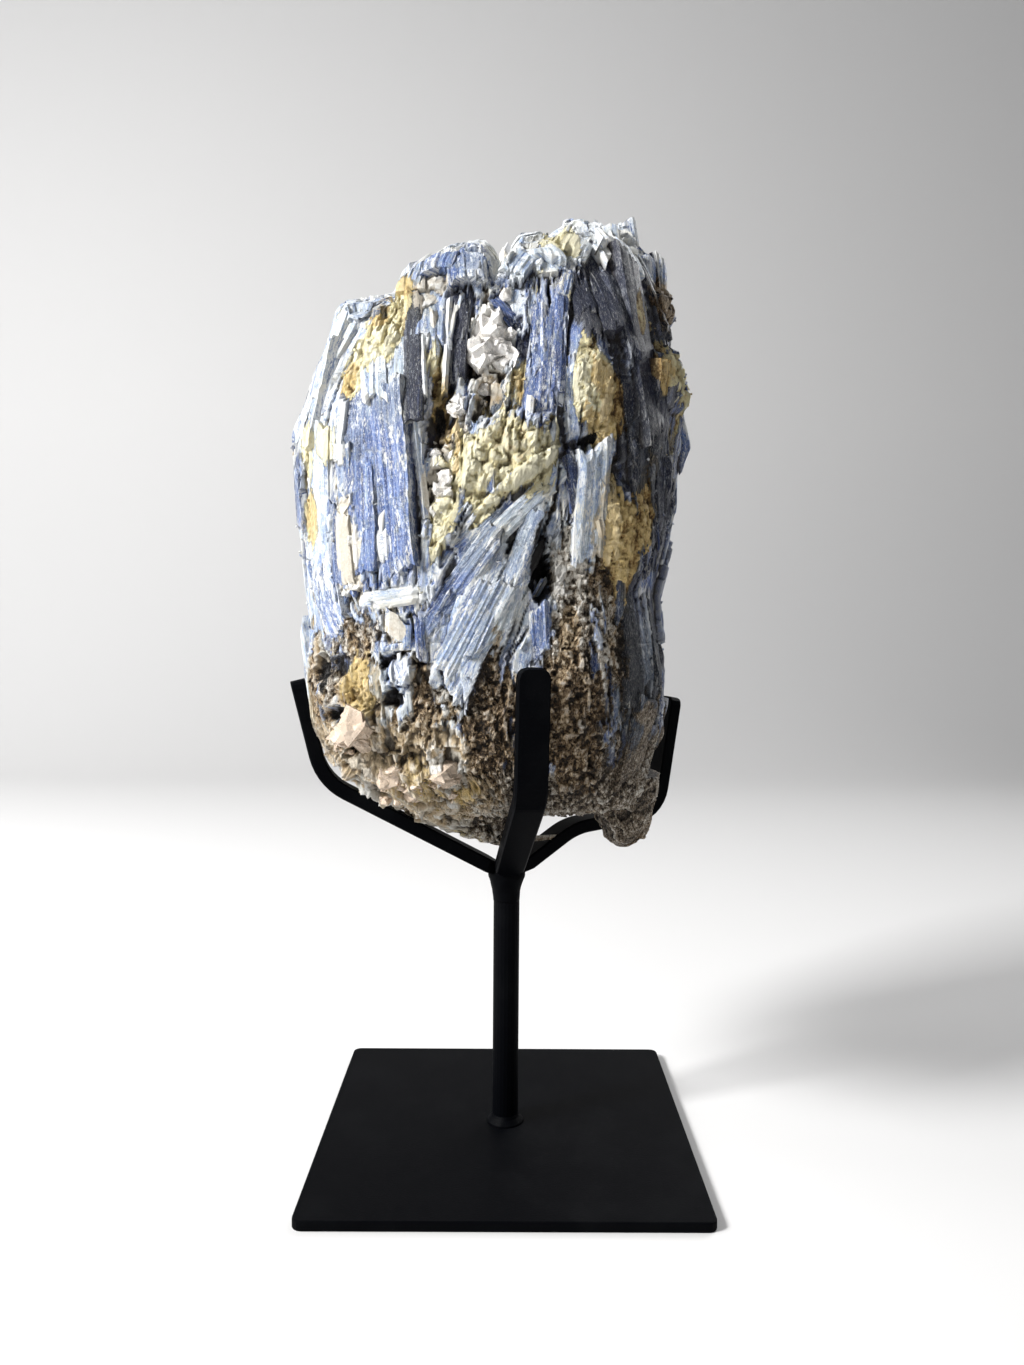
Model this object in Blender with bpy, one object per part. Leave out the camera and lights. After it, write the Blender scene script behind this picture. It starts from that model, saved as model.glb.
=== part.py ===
# Kyanite blade cluster held by a three-armed steel stand.
# One natural solid (the blades grown together with their quartz, feldspar and mica) and the
# five steel pieces of the stand. Values are in millimetres and scaled to metres as meshes are made.
# Frame: X to the right, Y to the back, Z up, origin at the centre of the plate's underside.
import math
import random

import bmesh
import bpy
import numpy as np
from mathutils import Matrix, Vector

MM = 0.001

# Stand
PLATE_SIDE = 127.0
PLATE_THICK = 3.2
PLATE_CORNER_RADIUS = 3.0
PLATE_EDGE_ROUND = 0.5
FIT_GAP = 0.3
POST_RADIUS = 4.6
POST_TOP = 92.6
POST_FLARE_RADIUS = 6.3
POST_FLARE_HEIGHT = 8.0
POST_FOOT_RADIUS = 5.4
POST_FOOT_BEAD = 0.8
POST_FOOT_HEIGHT = 2.2
POST_SEGMENTS = 22
ARM_WIDTH = 10.0
ARM_THICK = 4.8
ARM_CHAMFER = 0.5
ARM_TIP_RADIUS = 3.0
ARM_START = 4.9
ARM_ROOT_WIDTH = 6.2
ARM_ROOT_TAPER = 2.8
ARM_BEND_STEPS = 7
ROOM_GAP = 0.35
ROOM_OUTWARD = 12.0

# Each arm: azimuth in degrees from +X, rise of its first stretch in degrees, then the corners
# of its centreline as (reach, height) and the bend radius at each corner but the last.
ARMS = {
    "arm_left": (190.0, 27.0, [(64.3, 127.1), (72.7, 161.2)], [20.0]),
    "arm_front": (-82.5, 33.0, [(53.4, 127.6), (57.6, 166.8)], [11.0]),
    "arm_right": (27.0, 33.0, [(26.0, 107.4), (62.6, 110.6), (70.0, 154.0)], [24.0, 12.0]),
}

# Stone: the core under the blades, as (height, left, right, front, back) of each level
CORE_LEVELS = [
    (118.5, -28, 40, -24, 22), (121, -41, 48, -34, 31), (126, -49, 50, -40, 36),
    (134, -58, 50.5, -45, 40), (147, -64, 52, -48, 44), (165, -67, 53, -49.5, 46),
    (190, -66.5, 51.5, -50.5, 47), (215, -68.5, 53.5, -49.5, 47), (235, -70, 55.5, -48.5, 46),
    (255, -66, 57, -47.5, 44), (270, -61, 55.5, -45, 41), (283, -56, 50.5, -41, 38),
    (291, -47, 49, -37, 35), (301, -33, 47, -33, 32), (309, -8, 42, -26, 26),
    (313, 8, 38, -18, 18),
]
CORE_SQUARENESS = 2.8
CORE_GROWTH = 1.0
CORE_SEGMENTS = 24
CORE_STEP = 18.0
CORE_ROUGHNESS = 1.3
CORE_FLUTING = 1.5

# The two lobes under the core, as (height, centre x, centre y, half width, half depth)
KEEL = [
    (129, -17, -2, 36, 33), (121, -16, -2, 29, 26), (114, -14, -2, 21, 17),
    (108, -7, -3, 10.5, 9.5), (104.6, -2.4, -4, 4.5, 4.5), (103.2, -2.2, -4.2, 2.2, 2.2),
]
NOSE = [
    (126, 39, -7, 13, 17), (119, 40, -5, 11.5, 14), (112, 41.5, -4.5, 8.6, 10.5),
    (106.5, 41, -4, 6.4, 8), (103.6, 40.6, -4, 3.6, 4.6),
]
LOBE_SEGMENTS = 14

# Blades seen from the front, as (x, height, length, width, thickness, lean, turn, pitch, lift).
# Lean tips the top to the right, turn faces the blade to the right, pitch brings its top out.
FRONT_BLADES = [
    # upper left: pale blades, the broad flat blue face and the dark blade beside it
    (-53, 268, 39, 12.5, 8, 14, -6, -3, 1.9),
    (-60, 250, 43, 10.5, 8, 8, -8, 2, 1.6),
    (-44, 276, 28, 13.5, 8, 5, 0, -6, 1.2),
    (-37, 257, 28, 15, 9, -3, -4, -4, 1.9),
    (-40, 222, 69, 25, 10, -5, -9, 1, 2),
    (-45, 214, 43, 12.5, 8, -4, -12, 0, 2.7),
    (-58, 224, 65, 10.5, 8, 2, -6, 0, 1.4),
    (-66, 222, 22, 9, 9, 3, -10, 4, 2.6),
    (-50, 206, 37, 10.5, 8, -6, -4, 2, 0.9),
    (-28.5, 257, 63, 6, 10, -3, 4, 0, 2.6),
    (-24, 274, 30, 11, 8, -1.5, 0, -5, 2.1),
    # upper middle: the block over the hollow and the thin blades beside it
    (-13, 291, 27, 23, 9, -4, 0, -10, 2.5),
    (-15.4, 266, 35, 5, 9, 1, -8, 0, 1.7),
    (-2, 273.5, 15, 5, 5, -42, 0, 4, 0.7),
    # the long blades right of the hollow and the pale tops above them
    (8.6, 262, 52, 9, 9, 5, -8, 0, 2.2),
    (13.2, 257, 48, 6.5, 10, 4, 6, 0, 2.7),
    (5, 296, 24, 13.5, 9, 26, 0, -12, 2.2),
    (18, 302, 13, 20.5, 9, -8, 0, -24, 1.9),
    (32, 305, 22, 16, 9, -4, 6, -14, 2.1),
    (24, 284, 37, 15, 9, -8, -4, -4, 1.9),
    (33, 279, 43, 9, 10, -7, 10, -3, 2.6),
    (40, 262, 76, 11, 10, -5, 14, 0, 1.9),
    (45, 236, 60, 9, 9, 0, 12, 2, 2),
    (49.5, 295, 17, 9, 9, -2, 10, -6, 1.9),
    (50, 261, 26, 11.5, 9, -2, 12, 0, 1.9),
    (53.5, 244, 24, 9, 9, 0, 10, 4, 1.2),
    # the cream rib between the long blades
    (24, 256, 43, 11, 9, -9, -6, 3, 3.1),
    (19, 240, 37, 7, 8, -7, 4, 2, 1.4),
    (23.4, 226, 26, 8, 8, 2, 6, 4, 2),
    # middle: blades around the granular patch, then the fan that leans to the right
    (6.4, 219, 30, 8, 8, 34, 6, 0, 2.2),
    (-9, 206, 26, 11.5, 8, 33, -4, 0, 1.6),
    (-12, 191, 48, 7.5, 8, 38, -8, 2, 2.1),
    (-9, 180, 58, 16, 10, 28, 2, 2, 2.5),
    (0, 190, 45, 9, 9, 24, 10, 2, 1.9),
    (5.4, 203, 41, 7, 9, 19, -6, 0, 2),
    (-21, 170, 24, 9, 8, 12, -8, 4, 1.2),
    (-36, 187, 7.4, 21.5, 7, -6, -4, -8, 2),
    (-52.5, 186, 24, 15, 8, -14, -6, 0, 1.5),
    # right of the black cavity
    (23, 209, 28, 11.5, 9, -5, -6, 0, 1.6),
    (29, 214, 32, 7, 9, -7, 8, 0, 2.1),
    (35.4, 210, 37, 10.5, 9, -8, 8, 2, 1.2),
    (39, 229, 26, 9, 8, -6, 10, 4, 1.2),
    (9, 178, 22, 9, 8, -3, 0, 4, 1.1),
    (22, 184, 32, 16, 9, 0, 4, 0, 1.4),
    (49.4, 206, 48, 9, 9, 1.4, 12, 0, 1.6),
    (37.6, 174, 45, 9, 9, -1, 10, 0, 1.5),
    (46, 172, 37, 9, 8, 0, 14, 0, 1.6),
    # lower part: rough ribs of mica and quartz, and the smooth mass over the nose
    (20, 154, 45, 12.5, 8, 6, 4, 2, 1.1),
    (39.5, 140, 42, 15, 10, 3, 6, 2, 1.4),
    (47, 149, 38, 9, 9, 4, 12, 0, 1),
    (-45, 140, 24, 17, 10, 8, -6, -8, 1.6),
    (-30, 133, 24, 13.5, 10, -12, 0, -14, 1.5),
    (-37, 156, 26, 10.5, 8, 10, 0, 2, 0.6),
]

# Blades on the sides and back, from azimuth SIDE_FROM round the back to SIDE_TO: rows of
# (height, count, share of length) of broad slabs, then of narrow ones that stand prouder
SIDE_FROM = -26.0
SIDE_TO = 209.0
SLABS = {
    "rows": [(138, 5, 0.55), (163, 5, 0.8), (193, 5, 1), (223, 5, 1), (252, 5, 1), (279, 4, 0.8)],
    "length": (42.0, 68.0), "width": (13.0, 21.0), "thick": (8.0, 10.0),
    "lean": 5.0, "turn": 8.0, "pitch": 3.0, "lift": (0.4, 1.8),
}
SPLINTS = {
    "rows": [(142, 4, 0.6), (176, 5, 1), (208, 5, 1), (240, 5, 1), (268, 4, 0.9)],
    "length": (26.0, 52.0), "width": (5.5, 10.0), "thick": (8.0, 9.0),
    "lean": 9.0, "turn": 14.0, "pitch": 3.0, "lift": (1.6, 3.0),
}

# Broken blade ends that make the top, as (x, y, top height, width, thickness, lean, turn)
TOP_BLADES = [
    (-50, -8, 292.5, 13, 8, 10, -50), (-44, 14, 291, 14, 9, 8, 35), (-38, -20, 303, 14, 10, 6, -10),
    (-30, 2, 309, 16, 9, 3, 15), (-26, 20, 304, 15, 9, 4, 50), (-20, -18, 311, 15, 10, 2, -8),
    (-12, 8, 309.5, 16, 10, -2, 20), (-8, -22, 310, 10, 8, -3, 5), (-5, 26, 303, 15, 9, 5, -10),
    (3, -14, 314, 10, 9, 8, -15), (7, 12, 313, 15, 10, 3, 30), (14, -20, 318, 14, 10, -6, 5),
    (18, 22, 310, 15, 9, -4, -30), (23, -2, 318.5, 15, 10, 2, 15), (29, -20, 319.5, 13, 9, -5, -5),
    (33, 14, 314, 14, 10, -6, 35), (38, -8, 321.6, 9, 9, -3, 20), (43, 6, 313, 11, 8, -8, 60),
    (46, -16, 308, 9, 8, -6, 40),
]
TOP_BLADE_LENGTH = 30.0
TOP_BLADE_CHIP = 2.6

# Rounded masses of feldspar and quartz, as (x, height, half width, half height, depth, lift)
LUMPS = [
    (-1, 224, 15, 15, 11, 2.6), (24, 268, 8, 10, 8, 2.0), (21, 247, 7, 9, 8, 2.0),
    (-44, 264, 9, 10, 8, 1.6), (-6, 267, 8, 11, 7, -2.2), (-18, 225, 9, 16, 8, 1.0),
    (-22, 200, 7, 9, 7, 1.4), (-14, 205, 8, 9, 7, 1.6), (-50, 236, 4, 9, 6, 1.6),
    (35, 205, 9, 14, 7, 2.0), (50, 268, 7, 10, 8, 2.6), (-52, 136, 12, 10, 9, 1.6),
    (-25, 127, 10, 8, 9, 1.4), (-62, 168, 6, 9, 8, 1.6), (31, 166, 10, 12, 7, 1.2),
]
LUMP_ROUGHNESS = 0.16
LUMP_SINK = 0.75
MASS_SEGMENTS = 8
MASS_RINGS = 5

# Hollows that open outwards, as (x, height, half width, half height, depth)
HOLLOWS = [
    (-6, 264, 8.5, 15, 11), (7.6, 187, 3.0, 9, 9), (-19.5, 246, 4.2, 14, 6), (-37, 167, 3.4, 4, 6),
    (-58, 166, 4, 4.5, 6), (-31, 152, 4, 4, 5), (28, 246, 2.4, 12, 7), (-8, 160, 5, 6, 4),
]
HOLLOW_RISE = 2.0

# How a blade breaks: the line of its crest as a share of the half width, the drop of its outer
# face to each side, the slant, slope and taper of its ends, and their ragged chips
BLADE_CREST = (0.3, 0.75)
BLADE_NEAR_DROP = (0.8, 1.8)
BLADE_FAR_DROP = (0.0, 0.9)
BLADE_SLANT = 0.4
BLADE_END_SLOPE = (0.2, 1.1)
BLADE_TAPER = 0.15
BLADE_CHIP = 2.4
BLADE_CHIP_SHARE = 0.07

SEED = 23
SIDE_SEED = 5


def level_shape(height):
    # Centre and half sizes of the core at a height
    heights = [level[0] for level in CORE_LEVELS]
    left, right, front, back = (
        float(np.interp(height, heights, [level[side] for level in CORE_LEVELS]))
        for side in (1, 2, 3, 4)
    )
    return (left + right) / 2, (front + back) / 2, (right - left) / 2, (back - front) / 2


def core_point(azimuth, height, swell=0.0):
    # Point of the core's surface in the direction of azimuth (degrees) from its middle
    cx, cy, half_x, half_y = level_shape(height)
    c = math.cos(math.radians(azimuth))
    s = math.sin(math.radians(azimuth))
    power = CORE_SQUARENESS
    reach = (abs(c / half_x) ** power + abs(s / half_y) ** power) ** (-1 / power)
    reach += CORE_GROWTH + swell
    return Vector((cx + c * reach, cy + s * reach, height))


def front_azimuth(x, height):
    # Azimuth of the front point of the core that lies at x
    cx, cy, half_x, half_y = level_shape(height)
    share = max(-0.97, min(0.97, (x - cx) / half_x))
    depth = half_y * (1 - abs(share) ** CORE_SQUARENESS) ** (1 / CORE_SQUARENESS)
    return math.degrees(math.atan2(-depth, share * half_x))


def surface_frame(azimuth, height):
    # Place and axes on the core: across (level), up along the surface, and out
    step = 2.0
    place = core_point(azimuth, height)
    across = core_point(azimuth + step, height) - core_point(azimuth - step, height)
    up = core_point(azimuth, height + step) - core_point(azimuth, height - step)
    across.normalize()
    out = across.cross(up).normalized()
    up = out.cross(across)
    axes = Matrix((across, up, out)).transposed()
    return place, axes


def make_object(name, mesh):
    made = bpy.data.objects.new(name, mesh)
    bpy.context.scene.collection.objects.link(made)
    return made


def mesh_from(name, points, faces):
    mesh = bpy.data.meshes.new(name)
    mesh.from_pydata([Vector(p) * MM for p in points], [], faces)
    built = bmesh.new()
    built.from_mesh(mesh)
    bmesh.ops.recalc_face_normals(built, faces=built.faces)
    built.to_mesh(mesh)
    built.free()
    return mesh


def loft(name, rings):
    # Closed skin over rings of equal count, with a fan at each end
    count = len(rings[0])
    points = [p for ring in rings for p in ring]
    faces = []
    for level in range(len(rings) - 1):
        a, b = level * count, (level + 1) * count
        for i in range(count):
            j = (i + 1) % count
            faces.append((a + i, a + j, b + j, b + i))
    for ring_start in (0, (len(rings) - 1) * count):
        ring = [Vector(points[ring_start + i]) for i in range(count)]
        points.append(sum(ring, Vector()) / count)
        hub = len(points) - 1
        for i in range(count):
            faces.append((ring_start + i, ring_start + (i + 1) % count, hub))
    return mesh_from(name, points, faces)


def material(name, colour, roughness, metallic=0.0):
    made = bpy.data.materials.new(name)
    made.use_nodes = True
    shader = made.node_tree.nodes["Principled BSDF"]
    shader.inputs["Base Color"].default_value = (*colour, 1.0)
    shader.inputs["Roughness"].default_value = roughness
    shader.inputs["Metallic"].default_value = metallic
    return made


def base_plate(finish):
    # Square sheet with rounded corners and softened edges
    half = PLATE_SIDE / 2 - PLATE_CORNER_RADIUS
    outline = []
    for corner, (sx, sy) in enumerate(((1, 1), (-1, 1), (-1, -1), (1, -1))):
        for step in range(5):
            angle = math.radians(corner * 90 + step * 22.5)
            outline.append((sx * half + PLATE_CORNER_RADIUS * math.cos(angle),
                            sy * half + PLATE_CORNER_RADIUS * math.sin(angle)))
    count = len(outline)
    points = [(x, y, z) for z in (0.0, PLATE_THICK) for x, y in outline]
    faces = [tuple(range(count)), tuple(range(count, 2 * count))]
    faces += [(i, (i + 1) % count, count + (i + 1) % count, count + i) for i in range(count)]
    plate = make_object("base_plate", mesh_from("base_plate", points, faces))
    rounding = plate.modifiers.new("edge_round", "BEVEL")
    rounding.width = PLATE_EDGE_ROUND * MM
    rounding.segments = 2
    rounding.limit_method = "ANGLE"
    rounding.angle_limit = math.radians(60)
    plate.data.materials.append(finish)
    return plate


def post(finish):
    # Round rod: a small weld flare at its foot and a wider one under the arms
    foot = PLATE_THICK + FIT_GAP
    flare_start = POST_TOP - POST_FLARE_HEIGHT
    middle = (POST_FOOT_RADIUS + POST_RADIUS) / 2
    profile = [(foot, POST_FOOT_RADIUS), (foot + POST_FOOT_BEAD, middle),
               (foot + POST_FOOT_HEIGHT, POST_RADIUS)]
    for step in range(4):
        share = step / 3
        swell = (POST_FLARE_RADIUS - POST_RADIUS) * share ** 1.6
        profile.append((flare_start + POST_FLARE_HEIGHT * share, POST_RADIUS + swell))
    rings = []
    for height, radius in profile:
        turns = [2 * math.pi * i / POST_SEGMENTS for i in range(POST_SEGMENTS)]
        rings.append([(radius * math.cos(t), radius * math.sin(t), height) for t in turns])
    rod = make_object("post", loft("post", rings))
    rod.data.materials.append(finish)
    rod.data.shade_smooth()
    rod.data.set_sharp_from_angle(angle=math.radians(35))
    return rod


def bent_path(start, corners, radii):
    # Straight runs between corners, with an arc of the given radius at each inner one
    nodes = [Vector(start)] + [Vector(c) for c in corners]
    path = [nodes[0]]
    for i, radius in enumerate(radii):
        corner = nodes[i + 1]
        back = (nodes[i] - corner).normalized()
        ahead = (nodes[i + 2] - corner).normalized()
        half = back.angle(ahead) / 2
        run = radius / math.tan(half)
        centre = corner + (back + ahead).normalized() * (radius / math.sin(half))
        first = corner + back * run - centre
        last = corner + ahead * run - centre
        turn = first.angle_signed(last)
        for step in range(ARM_BEND_STEPS + 1):
            angle = -turn * step / ARM_BEND_STEPS
            c, s = math.cos(angle), math.sin(angle)
            path.append(centre + Vector((first.x * c - first.y * s, first.x * s + first.y * c)))
    path.append(nodes[-1])
    return path


def tip_widths(path):
    # Extra stations near the tip where the bar narrows round its two corners
    end, before = path[-1], path[-2]
    along = (before - end).normalized()
    stations = []
    for share in (1.0, 0.45, 0.14, 0.0):
        inset = ARM_TIP_RADIUS * share
        drop = ARM_TIP_RADIUS - math.sqrt(ARM_TIP_RADIUS ** 2 - (ARM_TIP_RADIUS - inset) ** 2)
        stations.append((end + along * inset, ARM_WIDTH / 2 - drop))
    return stations


def arm(name, azimuth, rise, corners, radii, grow=0.0, outward=0.0):
    # Flat bar bent in an upright plane, its wide faces towards and away from the stone and its
    # root narrowed so that it clears the bars beside it.
    # With grow and outward it is the room that the stone leaves for the bar and beyond it.
    half_thick = ARM_THICK / 2
    start_height = POST_TOP + FIT_GAP + half_thick * math.cos(math.radians(rise))
    path = bent_path((ARM_START, start_height), corners, radii)
    root = (path[1] - path[0]).normalized() * ARM_ROOT_TAPER
    stations = [(path[0], ARM_ROOT_WIDTH / 2), (path[0] + root, ARM_WIDTH / 2)]
    stations += [(p, ARM_WIDTH / 2) for p in path[1:-1]] + tip_widths(path)
    turn = Matrix.Rotation(math.radians(azimuth), 3, "Z")
    rings = []
    for i, (point, half_width) in enumerate(stations):
        before = stations[max(i - 1, 0)][0]
        after = stations[min(i + 1, len(stations) - 1)][0]
        along = (after - before).normalized()
        normal = Vector((-along.y, along.x))
        w, t, c = half_width + grow, half_thick + grow, ARM_CHAMFER
        low = -t - outward
        section = [(-w, low + c), (-w, t - c), (-w + c, t), (w - c, t),
                   (w, t - c), (w, low + c), (w - c, low), (-w + c, low)]
        ring = []
        for side, depth in section:
            flat = point + normal * depth
            ring.append(turn @ Vector((flat.x, side, flat.y)))
        rings.append(ring)
    return make_object(name, loft(name, rings))


def core(rng):
    # Lumpy, fluted core that everything grows from
    flute = [rng.uniform(-1, 1) for _ in range(CORE_SEGMENTS)]
    low, high = CORE_LEVELS[0][0], CORE_LEVELS[-1][0]
    levels = max(2, round((high - low) / CORE_STEP))
    heights = [low + (high - low) * i / levels for i in range(levels + 1)]
    rings = []
    for height in heights:
        ring = []
        for i in range(CORE_SEGMENTS):
            swell = CORE_FLUTING * flute[i] + rng.uniform(-1, 1) * CORE_ROUGHNESS
            point = core_point(360 * i / CORE_SEGMENTS, height, swell)
            point.z += rng.uniform(-0.3, 0.3) * CORE_ROUGHNESS
            ring.append(point)
        rings.append(ring)
    return make_object("kyanite_cluster", loft("kyanite_cluster", rings))


def lobe(name, levels, rng):
    rings = []
    for height, cx, cy, half_x, half_y in levels:
        ring = []
        for i in range(LOBE_SEGMENTS):
            angle = 2 * math.pi * i / LOBE_SEGMENTS
            rough = 1 + rng.uniform(-0.09, 0.09)
            ring.append((cx + half_x * rough * math.cos(angle),
                         cy + half_y * rough * math.sin(angle), height))
        rings.append(ring)
    return make_object(name, loft(name, rings))


def blade_mesh(name, length, width, thick, rng):
    # Slab with a stepped outer face and ragged, slanting ends; x across, y along, z out
    w, t = width / 2, thick / 2
    crest = w * rng.uniform(*BLADE_CREST)
    near, far = rng.uniform(*BLADE_NEAR_DROP), rng.uniform(*BLADE_FAR_DROP)
    section = [(-w, -t), (w, -t), (w, t - near), (crest, t), (-w, t - far)]
    if rng.random() < 0.5:
        section = [(-x, z) for x, z in reversed(section)]
    slant = rng.uniform(-BLADE_SLANT, BLADE_SLANT)
    chip = min(BLADE_CHIP, length * BLADE_CHIP_SHARE)
    rings = []
    for end in (-1, 1):
        taper = 1.0 - BLADE_TAPER * rng.random()
        slope = rng.uniform(*BLADE_END_SLOPE)
        ring = []
        for x, z in section:
            back = slope * (z + t) * 0.5
            along = end * (length / 2 + slope * t * 0.5 - back) + slant * x
            ring.append((x * taper, along + rng.uniform(-1, 1) * chip, z))
        rings.append(ring)
    count = len(section)
    points = rings[0] + rings[1]
    faces = [tuple(range(count)), tuple(range(count, 2 * count))]
    faces += [(i, (i + 1) % count, count + (i + 1) % count, count + i) for i in range(count)]
    return mesh_from(name, points, faces)


def set_on_core(made, azimuth, height, lean, turn, pitch, lift, thick):
    # The slab's outer face ends up lift above the core
    place, axes = surface_frame(azimuth, height)
    spin = (Matrix.Rotation(math.radians(turn), 3, "Y")
            @ Matrix.Rotation(math.radians(-lean), 3, "Z")
            @ Matrix.Rotation(math.radians(pitch), 3, "X"))
    out = axes.col[2]
    centre = place + out * (lift - thick / 2)
    made.matrix_world = Matrix.Translation(centre * MM) @ (axes @ spin).to_4x4()


def front_blades(rng):
    made = []
    for i, (x, height, length, width, thick, lean, turn, pitch, lift) in enumerate(FRONT_BLADES):
        name = f"front_blade_{i:02d}"
        blade = make_object(name, blade_mesh(name, length, width, thick, rng))
        azimuth = front_azimuth(x, height)
        set_on_core(blade, azimuth, height, lean, turn, pitch, lift, thick)
        made.append(blade)
    return made


def side_blades(kind, plan, places, rng):
    # Seeded rows; places draws where the blades lie and rng how their faces break
    made = []
    for height, count, share_long in plan["rows"]:
        for i in range(count):
            share = (i + 0.5 + places.uniform(-0.25, 0.25)) / count
            azimuth = SIDE_FROM + (SIDE_TO - SIDE_FROM) * share
            level = height + places.uniform(-7, 7)
            length = places.uniform(*plan["length"]) * share_long
            width = places.uniform(*plan["width"])
            thick = places.uniform(*plan["thick"])
            lean = places.uniform(-1, 1) * plan["lean"]
            turn = places.uniform(-1, 1) * plan["turn"]
            pitch = places.uniform(-1, 1) * plan["pitch"]
            lift = places.uniform(*plan["lift"])
            name = f"{kind}_{height:03d}_{i:02d}"
            blade = make_object(name, blade_mesh(name, length, width, thick, rng))
            set_on_core(blade, azimuth, level, lean, turn, pitch, lift, thick)
            made.append(blade)
    return made


def top_blades(rng):
    made = []
    for i, (x, y, top, width, thick, lean, turn) in enumerate(TOP_BLADES):
        name = f"top_blade_{i:02d}"
        blade = make_object(name, blade_mesh(name, TOP_BLADE_LENGTH, width, thick, rng))
        centre = Vector((x, y, top - TOP_BLADE_LENGTH / 2 - TOP_BLADE_CHIP))
        upright = Matrix.Rotation(math.radians(90), 3, "X")
        spin = Matrix.Rotation(math.radians(turn), 3, "Z") @ upright
        spin = spin @ Matrix.Rotation(math.radians(-lean), 3, "Z")
        blade.matrix_world = Matrix.Translation(centre * MM) @ spin.to_4x4()
        made.append(blade)
    return made


def round_mass(name, place, axes, size, rng):
    # Faceted rounded mass of half sizes (across, up, out)
    built = bmesh.new()
    bmesh.ops.create_uvsphere(built, u_segments=MASS_SEGMENTS, v_segments=MASS_RINGS, radius=1.0)
    for vertex in built.verts:
        rough = 1 + rng.uniform(-1, 1) * LUMP_ROUGHNESS
        local = Vector([vertex.co[k] * size[k] for k in range(3)]) * rough
        vertex.co = (place + axes @ local) * MM
    mesh = bpy.data.meshes.new(name)
    built.to_mesh(mesh)
    built.free()
    return make_object(name, mesh)


def lumps(rng):
    made = []
    for i, (x, height, half_x, half_z, depth, lift) in enumerate(LUMPS):
        place, axes = surface_frame(front_azimuth(x, height), height)
        place = place + axes.col[2] * (lift - depth * LUMP_SINK)
        made.append(round_mass(f"lump_{i:02d}", place, axes, (half_x, half_z, depth), rng))
    return made


def hollows(rng):
    made = []
    for i, (x, height, half_x, half_z, depth) in enumerate(HOLLOWS):
        place, axes = surface_frame(front_azimuth(x, height), height)
        place = place + axes.col[2] * HOLLOW_RISE
        size = (half_x, half_z, depth + HOLLOW_RISE)
        made.append(round_mass(f"hollow_{i:02d}", place, axes, size, rng))
    return made


def low_high(made):
    corners = [made.matrix_world @ vertex.co for vertex in made.data.vertices]
    low = [min(c[k] for c in corners) for k in range(3)]
    high = [max(c[k] for c in corners) for k in range(3)]
    return low, high


def clear_groups(members):
    # Groups of shapes that stay clear of each other, so that each group cuts or joins at once
    groups = []
    for member in members:
        low, high = low_high(member)
        for held in groups:
            if all(any(low[k] > far[k] or high[k] < near[k] for k in range(3))
                   for near, far, _ in held):
                held.append((low, high, member))
                break
        else:
            groups.append([(low, high, member)])
    return [[member for _, _, member in held] for held in groups]


def joined(name, members):
    built = bmesh.new()
    for member in members:
        piece = member.data.copy()
        piece.transform(member.matrix_world)
        built.from_mesh(piece)
        bpy.data.meshes.remove(piece)
    mesh = bpy.data.meshes.new(name)
    built.to_mesh(mesh)
    built.free()
    for member in members:
        bpy.data.objects.remove(member, do_unlink=True)
    return make_object(name, mesh)


def combine(target, operation, members):
    # Union or difference, one clear group after another; EXACT loses this many-faced body part way
    for held in clear_groups(members):
        tool = joined("tool", held)
        modifier = target.modifiers.new("fuse", "BOOLEAN")
        modifier.operation = operation
        modifier.solver = "MANIFOLD"
        modifier.object = tool
        graph = bpy.context.evaluated_depsgraph_get()
        fused = bpy.data.meshes.new_from_object(target.evaluated_get(graph))
        target.modifiers.clear()
        target.data = fused
        bpy.data.objects.remove(tool, do_unlink=True)


def drop_inner_shells(target):
    # The fused skin alone, without any closed pocket left inside it
    built = bmesh.new()
    built.from_mesh(target.data)
    shells = []
    waiting = set(built.faces)
    while waiting:
        stack = [waiting.pop()]
        shell = list(stack)
        while stack:
            for edge in stack.pop().edges:
                for face in edge.link_faces:
                    if face in waiting:
                        waiting.remove(face)
                        stack.append(face)
                        shell.append(face)
        shells.append(shell)
    shells.sort(key=len, reverse=True)
    for shell in shells[1:]:
        bmesh.ops.delete(built, geom=shell, context="FACES")
    built.to_mesh(target.data)
    built.free()


def kyanite_cluster(finish, keep_clear):
    rng = random.Random(SEED)
    stone = core(rng)
    combine(stone, "UNION", [lobe("keel", KEEL, rng), lobe("nose", NOSE, rng)] + lumps(rng))
    combine(stone, "UNION", front_blades(rng))
    places = random.Random(SIDE_SEED)
    combine(stone, "UNION", side_blades("slab", SLABS, places, rng))
    combine(stone, "UNION", side_blades("splint", SPLINTS, places, rng))
    combine(stone, "UNION", top_blades(rng))
    combine(stone, "DIFFERENCE", hollows(rng))
    combine(stone, "DIFFERENCE", keep_clear)
    drop_inner_shells(stone)
    stone.data.materials.clear()
    stone.data.materials.append(finish)
    return stone


def build():
    for old in list(bpy.data.objects):
        bpy.data.objects.remove(old, do_unlink=True)
    black = material("black_powder_coat", (0.012, 0.013, 0.016), 0.48)
    blue = material("kyanite", (0.30, 0.38, 0.55), 0.55)
    base_plate(black)
    post(black)
    rooms = []
    for name, (azimuth, rise, corners, radii) in ARMS.items():
        bar = arm(name, azimuth, rise, corners, radii)
        bar.data.materials.append(black)
        rooms.append(arm(f"{name}_room", azimuth, rise, corners, radii, ROOM_GAP, ROOM_OUTWARD))
    kyanite_cluster(blue, rooms)


build()
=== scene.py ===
import math
import random
from itertools import product

import bmesh
import bpy
import numpy as np
from mathutils import Matrix, Vector
from mathutils.bvhtree import BVHTree


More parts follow.
